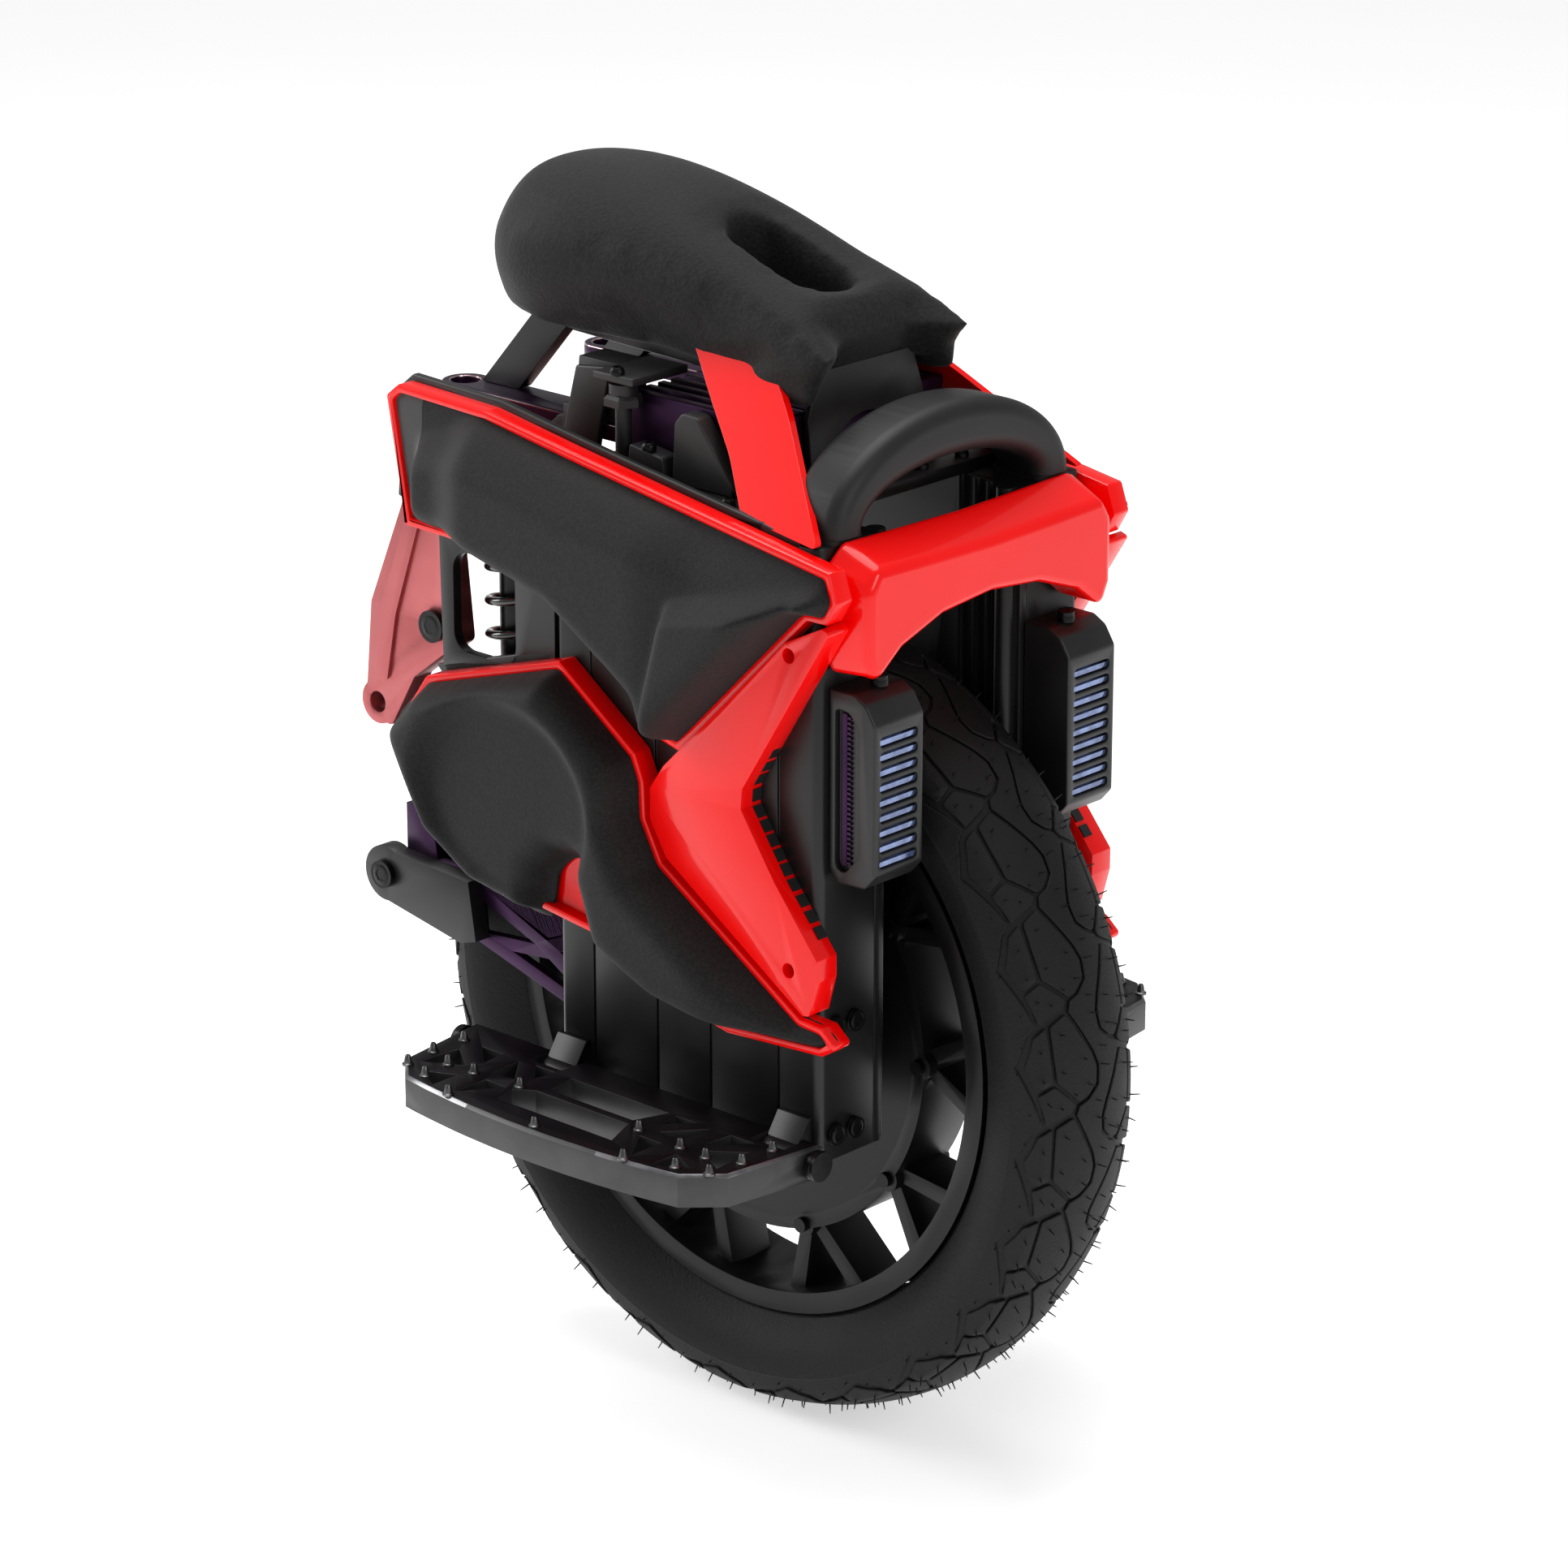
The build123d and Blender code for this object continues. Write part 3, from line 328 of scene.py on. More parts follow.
# moulded ABS housings: black with a satin skin
satinAbs, base, place = startMaterial("satinAbs", {"IOR": 1.5, "Specular IOR Level": 0.5})
mottle(satinAbs, base, place, 35, "#121212", "#181818", (0.36, 0.46))
grain(satinAbs, base, place, 0.9, 0.06, 0.4)

# integral skin polyurethane foam, cast in a grained mould: black with a fine dry leather grain
foamSkin, base, place = startMaterial("foamSkin", {"IOR": 1.45, "Specular IOR Level": 0.28,
                                                   "Sheen Weight": 0.06, "Sheen Roughness": 0.5})
mottle(foamSkin, base, place, 1.8, "#0B0B0B", "#1D1D1D", (0.6, 0.74))
grain(foamSkin, base, place, 1.6, 0.35, 0.75, 4.0)

# the same skin as a lit copy: painted light makes it greyer, and it is smoother
pressedSkin, base, place = startMaterial("pressedSkin", {"IOR": 1.45, "Specular IOR Level": 0.35,
                                                         "Sheen Weight": 0.2, "Sheen Roughness": 0.5})
mottle(pressedSkin, base, place, 25, "#343434", "#3C3C3C", (0.6, 0.7))
grain(pressedSkin, base, place, 1.6, 0.2, 0.5, 3.0)

# polyester leatherette stretched over foam: black with raised bumps about two millimetres apart
saddleCover, base, place = startMaterial("saddleCover", {"IOR": 1.45, "Specular IOR Level": 0.28,
                                                         "Sheen Weight": 0.08, "Sheen Roughness": 0.45})
mottle(saddleCover, base, place, 2.4, "#090909", "#1C1C1C", (0.62, 0.76))
grain(saddleCover, base, place, 2.2, 0.6, 0.9, 3.0)

# machined aluminium, blasted and anodised dark grey: the pedals, whose side band is painted this lighter
# grey as painted light
pedalAlloy, base, place = startMaterial("pedalAlloy", {"Metallic": 0.75})
mottle(pedalAlloy, base, place, 35, "#3E3E3E", "#4A4A4A", (0.34, 0.44))
grain(pedalAlloy, base, place, 0.7, 0.06, 0.45)

# painted highlight: the pedals' upward-facing chamfers in pale bright metal, thin pale lines along those
# edges
cutChamfer, base, place = startMaterial("cutChamfer", {"Metallic": 0.9})
mottle(cutChamfer, base, place, 12, "#6E6E70", "#858588", (0.24, 0.34))

# the tread face of the pedals, painted darker with a trace of violet: painted shade, a shaded copy of the
# pedal alloy
pedalTread, base, place = startMaterial("pedalTread", {"Metallic": 0.6})
mottle(pedalTread, base, place, 60, "#120E12", "#1A141A", (0.36, 0.46))
grain(pedalTread, base, place, 0.7, 0.06, 0.45)

# turned steel studs with a worn black oxide: dark grey that shines at the rims
studSteel, base, place = startMaterial("studSteel", {"Metallic": 1.0})
mottle(studSteel, base, place, 4, "#5C5C5C", "#7A7A7A", (0.28, 0.40))

# alloy steel screws, black oxide: almost black with an oily shine
blackOxide, base, place = startMaterial("blackOxide", {"Metallic": 0.7})
mottle(blackOxide, base, place, 6, "#141414", "#1C1C1C", (0.26, 0.36))

# painted highlight on the tail rails' upward bevels: pale, faintly pink metal standing for the light they
# catch
polishedRim, base, place = startMaterial("polishedRim", {"Metallic": 1.0})
mottle(polishedRim, base, place, 20, "#D9B6BA", "#E8CDD0", (0.12, 0.2))

# ground steel: shafts, axle and its nuts
groundSteel, base, place = startMaterial("groundSteel", {"Metallic": 1.0})
mottle(groundSteel, base, place, 12, "#A2A2A2", "#B8B8B8", (0.14, 0.24))

# spring wire under gloss black lacquer
springLacquer, base, place = startMaterial("springLacquer", {
    "IOR": 1.5, "Coat Weight": 1.0, "Coat Roughness": 0.05})
mottle(springLacquer, base, place, 15, "#080808", "#101010", (0.2, 0.28))

# soft black rubber of gaskets and the valve
softRubber, base, place = startMaterial("softRubber", {"IOR": 1.5, "Specular IOR Level": 0.35})
mottle(softRubber, base, place, 18, "#141414", "#1C1C1C", (0.55, 0.7))
grain(softRubber, base, place, 0.8, 0.06, 0.4)

# polycarbonate lamp covers, tinted blue grey, with painted reflection: the reflector's shine behind them is
# painted into the lighter blue patches
lampCover, base, place = startMaterial("lampCover", {
    "IOR": 1.58, "Metallic": 0.55, "Coat Weight": 1.0, "Coat Roughness": 0.03})
mottle(lampCover, base, place, 9, "#4E5F8C", "#7E93C6", (0.08, 0.16))

# heat shrunk wrap of the cells
shrinkWrap, base, place = startMaterial("shrinkWrap", {"IOR": 1.5})
mottle(shrinkWrap, base, place, 25, "#1B2434", "#24304A", (0.3, 0.42))

# enamelled copper windings on laminated steel
copperWinding, base, place = startMaterial("copperWinding", {"Metallic": 0.9})
mottle(copperWinding, base, place, 6, "#5A2E17", "#8C4C26", (0.3, 0.45))



def nodesOf(kind):
    # a node by its own name, or the left and the right one of a pair
    return [kind] if kind in cadNodes else [kind + "_" + side for side, sign in sides]


finishOf = {
    "tyre": tyreRubber, "rim": powderCoat, "motor_cover": motorShell, "motor_screws": blackOxide,
    "valve_stem": softRubber, "axle": groundSteel, "stator": copperWinding, "slider": blackAnodised,
    "axle_nuts": groundSteel, "shock_shafts": groundSteel, "shock_bodies": blackOxide,
    "shock_springs": springLacquer, "side_frame": blackAnodised, "side_cover": blackAnodised,
    "battery_pack": shrinkWrap, "top_deck": blackAnodised, "controller_box": violetAnodised,
    "arch_gaskets": softRubber, "front_arch": mattMoulding, "nose_bar": redLacquer, "lamp_pod": satinAbs,
    "lamp_lenses": lampCover, "upper_panel": redLacquer, "lower_panel": redLacquer, "upper_pad": foamSkin,
    "lower_pad": foamSkin, "side_trim": redLacquer, "seat_pan": satinAbs, "seat": saddleCover,
    "seat_posts": blackAnodised, "strut": redLacquer, "rear_rails": violetAnodised,
    "shock_hangers": castBlack, "rear_plates": blackAnodised, "rear_link": redAnodised,
    "rear_truss": violetAnodised, "rear_arms": satinAbs, "rear_bar": blackOxide, "mudguard": satinAbs,
    "pedal": pedalAlloy, "pedal_spikes": studSteel, "pedal_clips": blackAnodised,
    "pedal_pins": blackOxide, "body_screws": blackOxide,
}
nodeFinish = {nodeName: finish for kind, finish in finishOf.items() for nodeName in nodesOf(kind)}
for nodeName, node in cadNodes.items():
    node.data.materials.clear()
    node.data.materials.append(nodeFinish[nodeName])
print("finishes made:", len(bpy.data.materials))


def paint(piece, material):
    piece.data.materials.clear()
    piece.data.materials.append(material)
    return piece


# ---- edges broken on the metal and moulded parts: width in mm, slot
edgeBreaks = {
    "side_cover": (1.0, "cover_black"), "side_frame": (0.8, "frame_alloy"),
    "top_deck": (1.2, "frame_alloy"), "controller_box": (0.8, "purple_alloy"),
    "upper_panel": (1.6, "gloss_red"), "lower_panel": (1.6, "gloss_red"), "side_trim": (1.6, "gloss_red"),
    "rear_plates": (1.0, "frame_alloy"), "rear_link": (2.2, "red_anodised"),
    "rear_truss": (0.8, "purple_alloy"), "rear_arms": (2.5, "pod_black"), "mudguard": (0.8, "pod_black"),
    "shock_hangers": (1.4, "frame_alloy"), "slider": (1.0, "frame_alloy"), "pedal": (1.0, "pedal_alloy"),
    "pedal_clips": (1.0, "frame_alloy"), "front_arch": (12.0, "arch_black"), "rim": (1.6, "wheel_alloy"),
    "rear_rails": (0.8, "purple_alloy"),
}
for kind, (width, slotName) in edgeBreaks.items():
    for nodeName in nodesOf(kind):
        words = nodeName.split("_")
        name = words[0] + ("".join(word.capitalize() for word in words[1:]) or "Finished")
        paint(breakEdges(nodeName, name, width), nodeFinish[nodeName])
print("edges broken")


# ---- tyre: carcass, moulded tread blocks and vent nibs
treadForm = {
    "pitches": 25, "pitchLength": 63.6, "grooveDepth": 1.9, "blockBevel": 0.5, "blockCorner": 1.6,
    "nibLength": 5.6, "nibFoot": 0.55, "nibTip": 0.32,
    # the crown is an arc, and the shoulder falls away from its edge
    "crownCentre": 176.5, "crownArc": 76.5, "crownHalf": 36, "shoulderTop": 244, "shoulderDrop": 22,
    "shoulderWidth": 13,
}
pitchLength = treadForm["pitchLength"]
blocks = (
    # one pitch of one shoulder, as (round the tyre, out from its middle)
    ((1, 21), (28.5, 6), (37, 2.8), (47, 4), (53.5, 11), (55.5, 17), (41, 31), (22, 32), (6, 32)),
    ((6, 34), (40.5, 33), (44.5, 42.3), (29, 45), (10, 41.3)),
    ((43, 32.3), (56.8, 19), (60.5, 22), (67, 38), (47, 41.7)),
)
bandEdge = ((0, 19), (27.5, 4.2), (36.5, 0.8), (48.2, 2), (55.3, 10), (58, 17),
            (pitchLength, 19))
shoulderEdge = ((3.4, 40), (9, 43.4), (29, 47), (45.5, 44.3), (49, 43.6), (67, 40))


def treadRadius(along):
    # outer radius of the tyre at a distance from its middle plane
    away = abs(along)
    if away <= treadForm["crownHalf"]:
        return treadForm["crownCentre"] + math.sqrt(treadForm["crownArc"] ** 2 - away ** 2)
    past = (away - treadForm["crownHalf"]) / treadForm["shoulderWidth"]
    return treadForm["shoulderTop"] - treadForm["shoulderDrop"] * past ** 2


def onTread(around, along, height=0.0):
    # a point on the tyre, and the way out of it there
    turn = -math.tau * around / (treadForm["pitches"] * pitchLength)
    slope = (treadRadius(along + 0.1) - treadRadius(along - 0.1)) / 0.2
    outward = Vector((1, -slope)).normalized()
    radius = treadRadius(along) + height * outward.x
    spoke = Vector((math.cos(turn), 0, math.sin(turn)))
    point = spoke * radius + Vector((0, along + height * outward.y, axleHeight))
    return point * mm, spoke * outward.x + Vector((0, outward.y, 0))


sidewall = [(189.5, 27), (196, 34.5), (203, 41), (211, 46), (219, 48.6), (225, 48.4)]
grooveFloor = [(treadRadius(y) - treadForm["grooveDepth"], y * 0.985)
               for y in (46, 43, 40, 36, 30, 22, 12, 4)]
halfSection = sidewall + grooveFloor
farSection = [(radius, -along) for radius, along in reversed(halfSection)]
tyreBody = turnProfile("tyreCarcass", halfSection + farSection, (0, 0, axleHeight), 180)

flatBlocks = []
for side, sign in sides:
    shift = pitchLength / 2 if sign > 0 else 0
    for block in blocks:
        flat = drawLine("block", [(around + shift, sign * along, 0) for around, along in block])
        bpy.ops.mesh.edge_face_add()
        bpy.ops.mesh.bevel(affect="VERTICES", offset=treadForm["blockCorner"] * mm, segments=3)
        bpy.ops.object.mode_set(mode="OBJECT")
        flatBlocks.append(flat)
    edge = [(around + shift, sign * along, 0) for around, along in shoulderEdge]
    rim = [(around + shift, sign * 48.2, 0) for around in (67, 51, 35, 19, 3.4)]
    shoulder = drawLine("block", edge + rim)
    bpy.ops.mesh.edge_face_add()
    bpy.ops.object.mode_set(mode="OBJECT")
    flatBlocks.append(shoulder)
# the middle band's far edge is the near one, half a pitch further round
farEdge = sorted(((around + pitchLength / 2) % pitchLength, -along) for around, along in bandEdge[:-1])
(firstAround, firstAlong), (lastAround, lastAlong) = farEdge[0], farEdge[-1]
start = lastAlong + (firstAlong - lastAlong) * (pitchLength - lastAround) / (
    pitchLength - lastAround + firstAround)
farEdge = [(0, start)] + farEdge + [(pitchLength, start)]
band = drawLine("block", [(around, -along, 0) for around, along in bandEdge]
                + [(around, -along, 0) for around, along in reversed(farEdge)])
bpy.ops.mesh.edge_face_add()
bpy.ops.object.mode_set(mode="OBJECT")
flatBlocks.append(band)
tread = joinPieces("tyreTread", flatBlocks)
bpy.ops.object.mode_set(mode="EDIT")
for step in range(1, 18):
    bpy.ops.mesh.select_all(action="SELECT")
    bpy.ops.mesh.bisect(plane_co=(step * pitchLength / 10 * mm, 0, 0), plane_no=(1, 0, 0))
for along in range(-45, 46, 6):
    bpy.ops.mesh.select_all(action="SELECT")
    bpy.ops.mesh.bisect(plane_co=(0, along * mm, 0), plane_no=(0, 1, 0))
bpy.ops.object.mode_set(mode="OBJECT")
applyModifier(tread, "ARRAY", count=treadForm["pitches"], use_relative_offset=False,
              use_constant_offset=True, constant_offset_displace=(pitchLength * mm, 0, 0),
              use_merge_vertices=True, merge_threshold=0.02 * mm)
for vertex in tread.data.vertices:
    vertex.co = onTread(vertex.co.x / mm, vertex.co.y / mm, -treadForm["blockBevel"])[0]
pick(tread)
bpy.ops.object.mode_set(mode="EDIT")
bpy.ops.mesh.select_all(action="SELECT")
bpy.ops.mesh.remove_doubles(threshold=0.02 * mm)
bpy.ops.mesh.normals_make_consistent(inside=False)
bpy.ops.mesh.inset(thickness=0.6 * mm, depth=treadForm["blockBevel"] * mm, use_boundary=True)
bpy.ops.mesh.select_all(action="DESELECT")
bpy.ops.mesh.select_mode(type="EDGE")
bpy.ops.mesh.select_non_manifold(extend=False)
bpy.ops.mesh.extrude_edges_move()
bpy.ops.mesh.select_mode(type="VERT")
bpy.ops.object.mode_set(mode="OBJECT")
# the blocks' open rims are drawn down into the carcass
for vertex in tread.data.vertices:
    if vertex.select:
        spoke = Vector((vertex.co.x, 0, vertex.co.z - axleHeight * mm)).normalized()
        core = spoke * 205 * mm + Vector((0, 0, axleHeight * mm))
        vertex.co += (core - vertex.co).normalized() * 2.6 * mm
smooth(tread, 38)

nibSpots = ((12, 26), (35, 27), (46, 10), (50, 20), (20, 39), (38, 39), (57, 29), (53, 37), (30, 12),
            (16, 45), (5, 2), (26, -3), (33, 46.5), (60, 44))
nibWear = (1.0, 0.6, 0.9, 0.5, 0.75)  # some are worn shorter than others
nibs = []
for side, sign in sides:
    shift = pitchLength / 2 if sign > 0 else 0
    for place, (around, along) in enumerate(nibSpots):
        point, outward = onTread(around + shift, sign * along, 0)
        length = treadForm["nibLength"] * nibWear[place % 5] * (0.4 if along > 42 else 1) * mm
        bpy.ops.object.select_all(action="DESELECT")
        bpy.ops.mesh.primitive_cone_add(vertices=5, radius1=treadForm["nibFoot"] * mm,
                                        radius2=treadForm["nibTip"] * mm, depth=length + mm)
        nib = bpy.context.object
        tilt = outward + Vector((0, 0.12 * math.sin(7 * place), 0.1 * math.cos(5 * place)))
        nib.data.transform(Matrix.Translation(point + outward * (length - mm) / 2)
                           @ tilt.to_track_quat("Z", "Y").to_matrix().to_4x4())
        nibs.append(nib)
nibPitch = joinPieces("nibPitch", nibs)
hub = Matrix.Translation((0, 0, axleHeight * mm))
ventNibs = []
for count in range(treadForm["pitches"]):
    turn = Matrix.Rotation(math.tau * count / treadForm["pitches"], 4, "Y")
    ventNibs.append(placeCopy(nibPitch, hub @ turn @ hub.inverted(), "nibs"))
moveAway(nibPitch)
ventNibs = joinPieces("tyreVentNibs", ventNibs)
for vertex in ventNibs.data.vertices:
    vertex.co.z = max(vertex.co.z, 0.3 * mm)
for piece in (tyreBody, tread, ventNibs):
    paint(piece, tyreRubber)
    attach(piece, "wheel")
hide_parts("tyre")
print("tyre moulded:", len(tread.data.polygons), "faces of tread")


# ---- padding helpers
airForm = {"pressure": 4, "frames": 20, "quality": 4}


def inflate(piece, cap, keep):
    # air in the skin for some frames: no point moves further than cap, and keep says what stays put
    scene = bpy.context.scene
    rest = [vertex.co.copy() for vertex in piece.data.vertices]
    pick(piece)
    cloth = piece.modifiers.new("air", "CLOTH")
    cloth.settings.use_pressure = True
    cloth.settings.uniform_pressure_force = airForm["pressure"]
    cloth.settings.effector_weights.gravity = 0
    cloth.settings.quality = airForm["quality"]
    cloth.collision_settings.use_collision = False
    cloth.point_cache.frame_start = 1
    cloth.point_cache.frame_end = airForm["frames"]
    for number in range(1, airForm["frames"] + 1):
        scene.frame_set(number)
    bpy.ops.object.modifier_apply(modifier=cloth.name)
    scene.frame_set(1)
    for vertex, start in zip(piece.data.vertices, rest):
        move = vertex.co - start
        if keep(start):
            move *= 0
        elif move.length > cap * mm:
            move *= cap * mm / move.length
        vertex.co = start + move


def smoothStep(value, low, high):
    share = np.clip((value - low) / (high - low), 0, 1)
    return share * share * (3 - 2 * share)


def edgeDistance(outline, x, z):
    # how far each point lies from the outline
    nearest = np.full(len(x), 1e9)
    for (ax, az), (bx, bz) in zip(outline, outline[1:] + outline[:1]):
        dx, dz = bx - ax, bz - az
        share = np.clip(((x - ax) * dx + (z - az) * dz) / (dx * dx + dz * dz), 0, 1)
        nearest = np.minimum(nearest, np.hypot(x - ax - share * dx, z - az - share * dz))
    return nearest


def lineHeight(points, x):
    return np.interp(x, [p[0] for p in points], [p[1] for p in points])


padForm = {"floor": 120.3, "slab": 14, "inset": 5.5, "roll": 15, "voxel": 3.4, "back": 125, "cap": 3}
upperForm = {"face": 139, "fold": 9, "topRoll": 15, "wedge": 11, "hollow": 5}
lowerForm = {"face": 147, "swell": 3, "dish": 9, "toe": 14, "softer": 3}
upperOutline = [
    (-200, 622), (-190, 630), (-117, 627), (-51, 616), (155, 584), (161, 567),
    (153, 553), (138, 553), (38, 453), (15, 459), (10, 480), (-53, 519), (-148, 543), (-186, 544)]
lowerOutline = [
    (-172, 453), (-202, 420), (-167, 355), (-128, 330), (-84, 322), (-71, 322), (-64, 354), (-53, 364.5),
    (-41, 366), (-35, 356), (-22, 318), (30, 296), (76, 289), (150, 294), (162, 302), (150, 312),
    (133, 313), (24, 382), (11, 406), (10, 428), (3, 444), (-58, 487)]


def upperHeights(x, z, depth):
    # distance of the upper pad's face from the machine's middle
    top = lineHeight([(-174, 608), (-120, 622), (-51, 610), (155, 578)], x)
    face = upperForm["face"] + upperForm["fold"] * smoothStep(x, -150, -112)
    face = face - upperForm["topRoll"] * (1 - smoothStep(top - z, -2, 30))
    ridge = lineHeight([(31, 470), (53, 549), (152, 571)], x)
    wedgeLeft = (x - 31) * 0.962 - (z - 473) * 0.27
    wedge = smoothStep(wedgeLeft, -2, 9) * smoothStep(ridge - z, -3, 9)
    face = face + upperForm["wedge"] * wedge
    hollow = smoothStep(x, 20, 70) * smoothStep(z - ridge, -4, 6)
    face = face - upperForm["hollow"] * hollow
    body = smoothStep(x, -177, -166) * smoothStep(top - z, -5, 6)
    share = np.sqrt(1 - (1 - np.clip(depth / padForm["roll"], 0, 1)) ** 2)
    return padForm["back"] + body * (face - padForm["back"]) * share


def lowerHeights(x, z, depth):
    # the lower pad: a thick border round a dished oval for the shin
    oval = np.hypot((x + 88) / 74, (z - 398) / 62)
    dish = 1 - smoothStep(oval, 0.86, 1.06)
    face = (lowerForm["face"] + lowerForm["swell"] * smoothStep(x, -60, 10) - lowerForm["dish"] * dish
            - lowerForm["toe"] * smoothStep(x, 60, 150))
    share = np.sqrt(1 - (1 - np.clip(depth / (padForm["roll"] + lowerForm["softer"]), 0, 1)) ** 2)
    return padForm["back"] + (face - padForm["back"]) * share


def castPad(name, outline, heights):
    # a slab inside the outline, remeshed and inflated, then its face drawn out to the heights
    pad = drawLine(name, [(x, -padForm["floor"], z) for x, z in outline])
    bpy.ops.mesh.edge_face_add()
    bpy.ops.mesh.inset(thickness=padForm["inset"] * mm)
    bpy.ops.mesh.select_all(action="INVERT")
    bpy.ops.mesh.delete(type="FACE")
    bpy.ops.mesh.select_all(action="SELECT")
    bpy.ops.mesh.extrude_region_move(TRANSFORM_OT_translate={"value": (0, -padForm["slab"] * mm, 0)})
    bpy.ops.mesh.select_all(action="SELECT")
    bpy.ops.mesh.normals_make_consistent(inside=False)
    bpy.ops.object.mode_set(mode="OBJECT")
    applyModifier(pad, "REMESH", mode="VOXEL", voxel_size=padForm["voxel"] * mm, use_smooth_shade=True)
    inflate(pad, padForm["cap"], lambda point: -point.y / mm < padForm["floor"] + 8)
    points = readPoints(pad)
    depth = edgeDistance(outline, points[:, 0], points[:, 2]) - padForm["inset"]
    target = heights(points[:, 0], points[:, 2], depth)
    share = (-points[:, 1] - padForm["floor"]) / padForm["slab"]
    points[:, 1] = -(padForm["floor"] + share * (target - padForm["floor"]))
    writePoints(pad, points)
    finishSoft(pad)
    return pad


for kind, outline, heights in (("upper", upperOutline, upperHeights), ("lower", lowerOutline, lowerHeights)):
    right = castPad(kind + "PadRight", outline, heights)
    left = mirrorPiece(right, kind + "PadLeft")
    for piece, node in ((right, kind + "_pad_right"), (left, kind + "_pad_left")):
        paint(piece, foamSkin)
        if kind == "upper":
            # the thin web behind and above the cushion is pressed flat, and gets the lit copy of the skin:
            # painted light, lighter grey
            piece.data.materials.append(pressedSkin)
            for face in piece.data.polygons:
                if face.center.x < -171 * mm:
                    face.material_index = 1
        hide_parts(node)
        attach(piece, "chassis")
print("leg pads cast")

# ---- saddle
saddleForm = {"voxel": 4.5, "dome": 34, "noseDome": 15, "tuck": 0.20, "rearLift": 4, "frontDraw": 20,
              "cap": 2.5}
saddle = copyNode("seat", "saddle", 0.2)
applyModifier(saddle, "REMESH", mode="VOXEL", voxel_size=saddleForm["voxel"] * mm, use_smooth_shade=True)
points = readPoints(saddle)
x, y, z = points[:, 0], points[:, 1], points[:, 2]
width = lineHeight([(-205, 40), (-170, 66), (-120, 75), (-60, 68), (20, 62), (95, 66)], x)
across = np.clip(np.abs(y) / width, 0, 1)
high = smoothStep(z, 672, 735)
domeLine = [(-205, 40), (-120, saddleForm["dome"]), (-20, 24), (40, saddleForm["noseDome"]), (95, 12)]
dome = lineHeight(domeLine, x)
points[:, 2] = z - dome * across ** 2.6 * smoothStep(z, 664, 720)
# the flanks tuck in towards the pan behind, and the rear lifts off it
low = 1 - smoothStep(z, 655, 700)
points[:, 1] = y * (1 - saddleForm["tuck"] * low * (1 - smoothStep(x, -60, 20)))
points[:, 2] += saddleForm["rearLift"] * low * (1 - smoothStep(x, -200, -120))
# the front face is drawn back between the two skirts
front = smoothStep(x, 50, 90) * (1 - smoothStep(np.abs(y), 30, 56))
points[:, 0] = x - saddleForm["frontDraw"] * front * (1 - smoothStep(z, 672, 712) * 0.55)
writePoints(saddle, points)
applyModifier(saddle, "SMOOTH", factor=0.5, iterations=9)
inflate(saddle, saddleForm["cap"], lambda point: point.z / mm < 664)
finishSoft(saddle)
paint(saddle, saddleCover)
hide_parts("seat")
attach(saddle, "chassis")
print("saddle covered")


# ---- struts that sweep in under the saddle, and the pan they meet
strutForm = {"foot": 112, "lean": 0.75, "leanFrom": 598, "thick": 5, "edge": 1.4}
strutOutline = [(136, 591), (74, 649), (44, 673), (9, 680), (-26, 677), (-14, 671), (12, 650), (46, 624),
                (73, 598)]
strut = sidePlate("strutRight", strutOutline, 0, strutForm["thick"], -1, corner=5)
bpy.ops.object.mode_set(mode="EDIT")
for level in range(604, 668, 6):
    bpy.ops.mesh.select_all(action="SELECT")
    bpy.ops.mesh.bisect(plane_co=(0, 0, level * mm), plane_no=(0, 0, 1))
bpy.ops.object.mode_set(mode="OBJECT")
for vertex in strut.data.vertices:
    away = strutForm["foot"] - strutForm["lean"] * (vertex.co.z / mm - strutForm["leanFrom"])
    vertex.co.y -= (away - strutForm["thick"]) * mm
applyModifier(strut, "BEVEL", width=strutForm["edge"] * mm, segments=3, angle_limit=math.radians(40))
smooth(strut)
for side, piece in (("right", strut), ("left", mirrorPiece(strut, "strutLeft"))):
    paint(piece, redLacquer)
    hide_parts("strut_" + side)
    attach(piece, "chassis")
panEdge = [(-168, 22), (-158, 34), (30, 50), (30, 25), (-36, 25)]  # it forks round the grip
panOutline = [(x, y, 655) for x, y in panEdge] + [(x, -y, 655) for x, y in reversed(panEdge)]
pan = cutPlate("seatPan", panOutline, (0, 0, 7), corner=5, edge=1)
paint(pan, satinAbs)
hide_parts("seat_pan")
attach(pan, "chassis")
postOutline = [(-191, 618.2), (-160, 618.2), (-112, 672), (-143, 672)]
posts = joinPieces("seatPosts", [sidePlate("post", postOutline, 47, 57, sign, corner=2, edge=1.2)
                                 for side, sign in sides])
paint(posts, blackAnodised)
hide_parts("seat_posts")
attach(posts, "chassis")


# ---- springs: the coils as one smooth piece on their own body
springs = copyNode("shock_springs", "springCoils", 0.1)
smooth(springs, 60)
springBody = cadNodes["shock_springs"]["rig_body"]
paint(springs, springLacquer)
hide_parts("shock_springs")
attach(springs, springBody)
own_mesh(springs)


# ---- socket screws
def pickFaces(piece, wanted):
    # edit mode with only the wanted faces picked
    pick(piece)
    bpy.ops.object.mode_set(mode="EDIT")
    bpy.ops.mesh.select_mode(type="FACE")
    bpy.ops.mesh.select_all(action="DESELECT")
    bpy.ops.object.mode_set(mode="OBJECT")
    for face in piece.data.polygons:
        face.select = wanted(face)
    bpy.ops.object.mode_set(mode="EDIT")


screwForm = {"sides": 24, "shank": 0.5, "chamfer": (0.12, 0.28), "dome": (0.2, 0.18), "land": 0.18,
             "socket": 0.5, "socketDepth": 0.55}


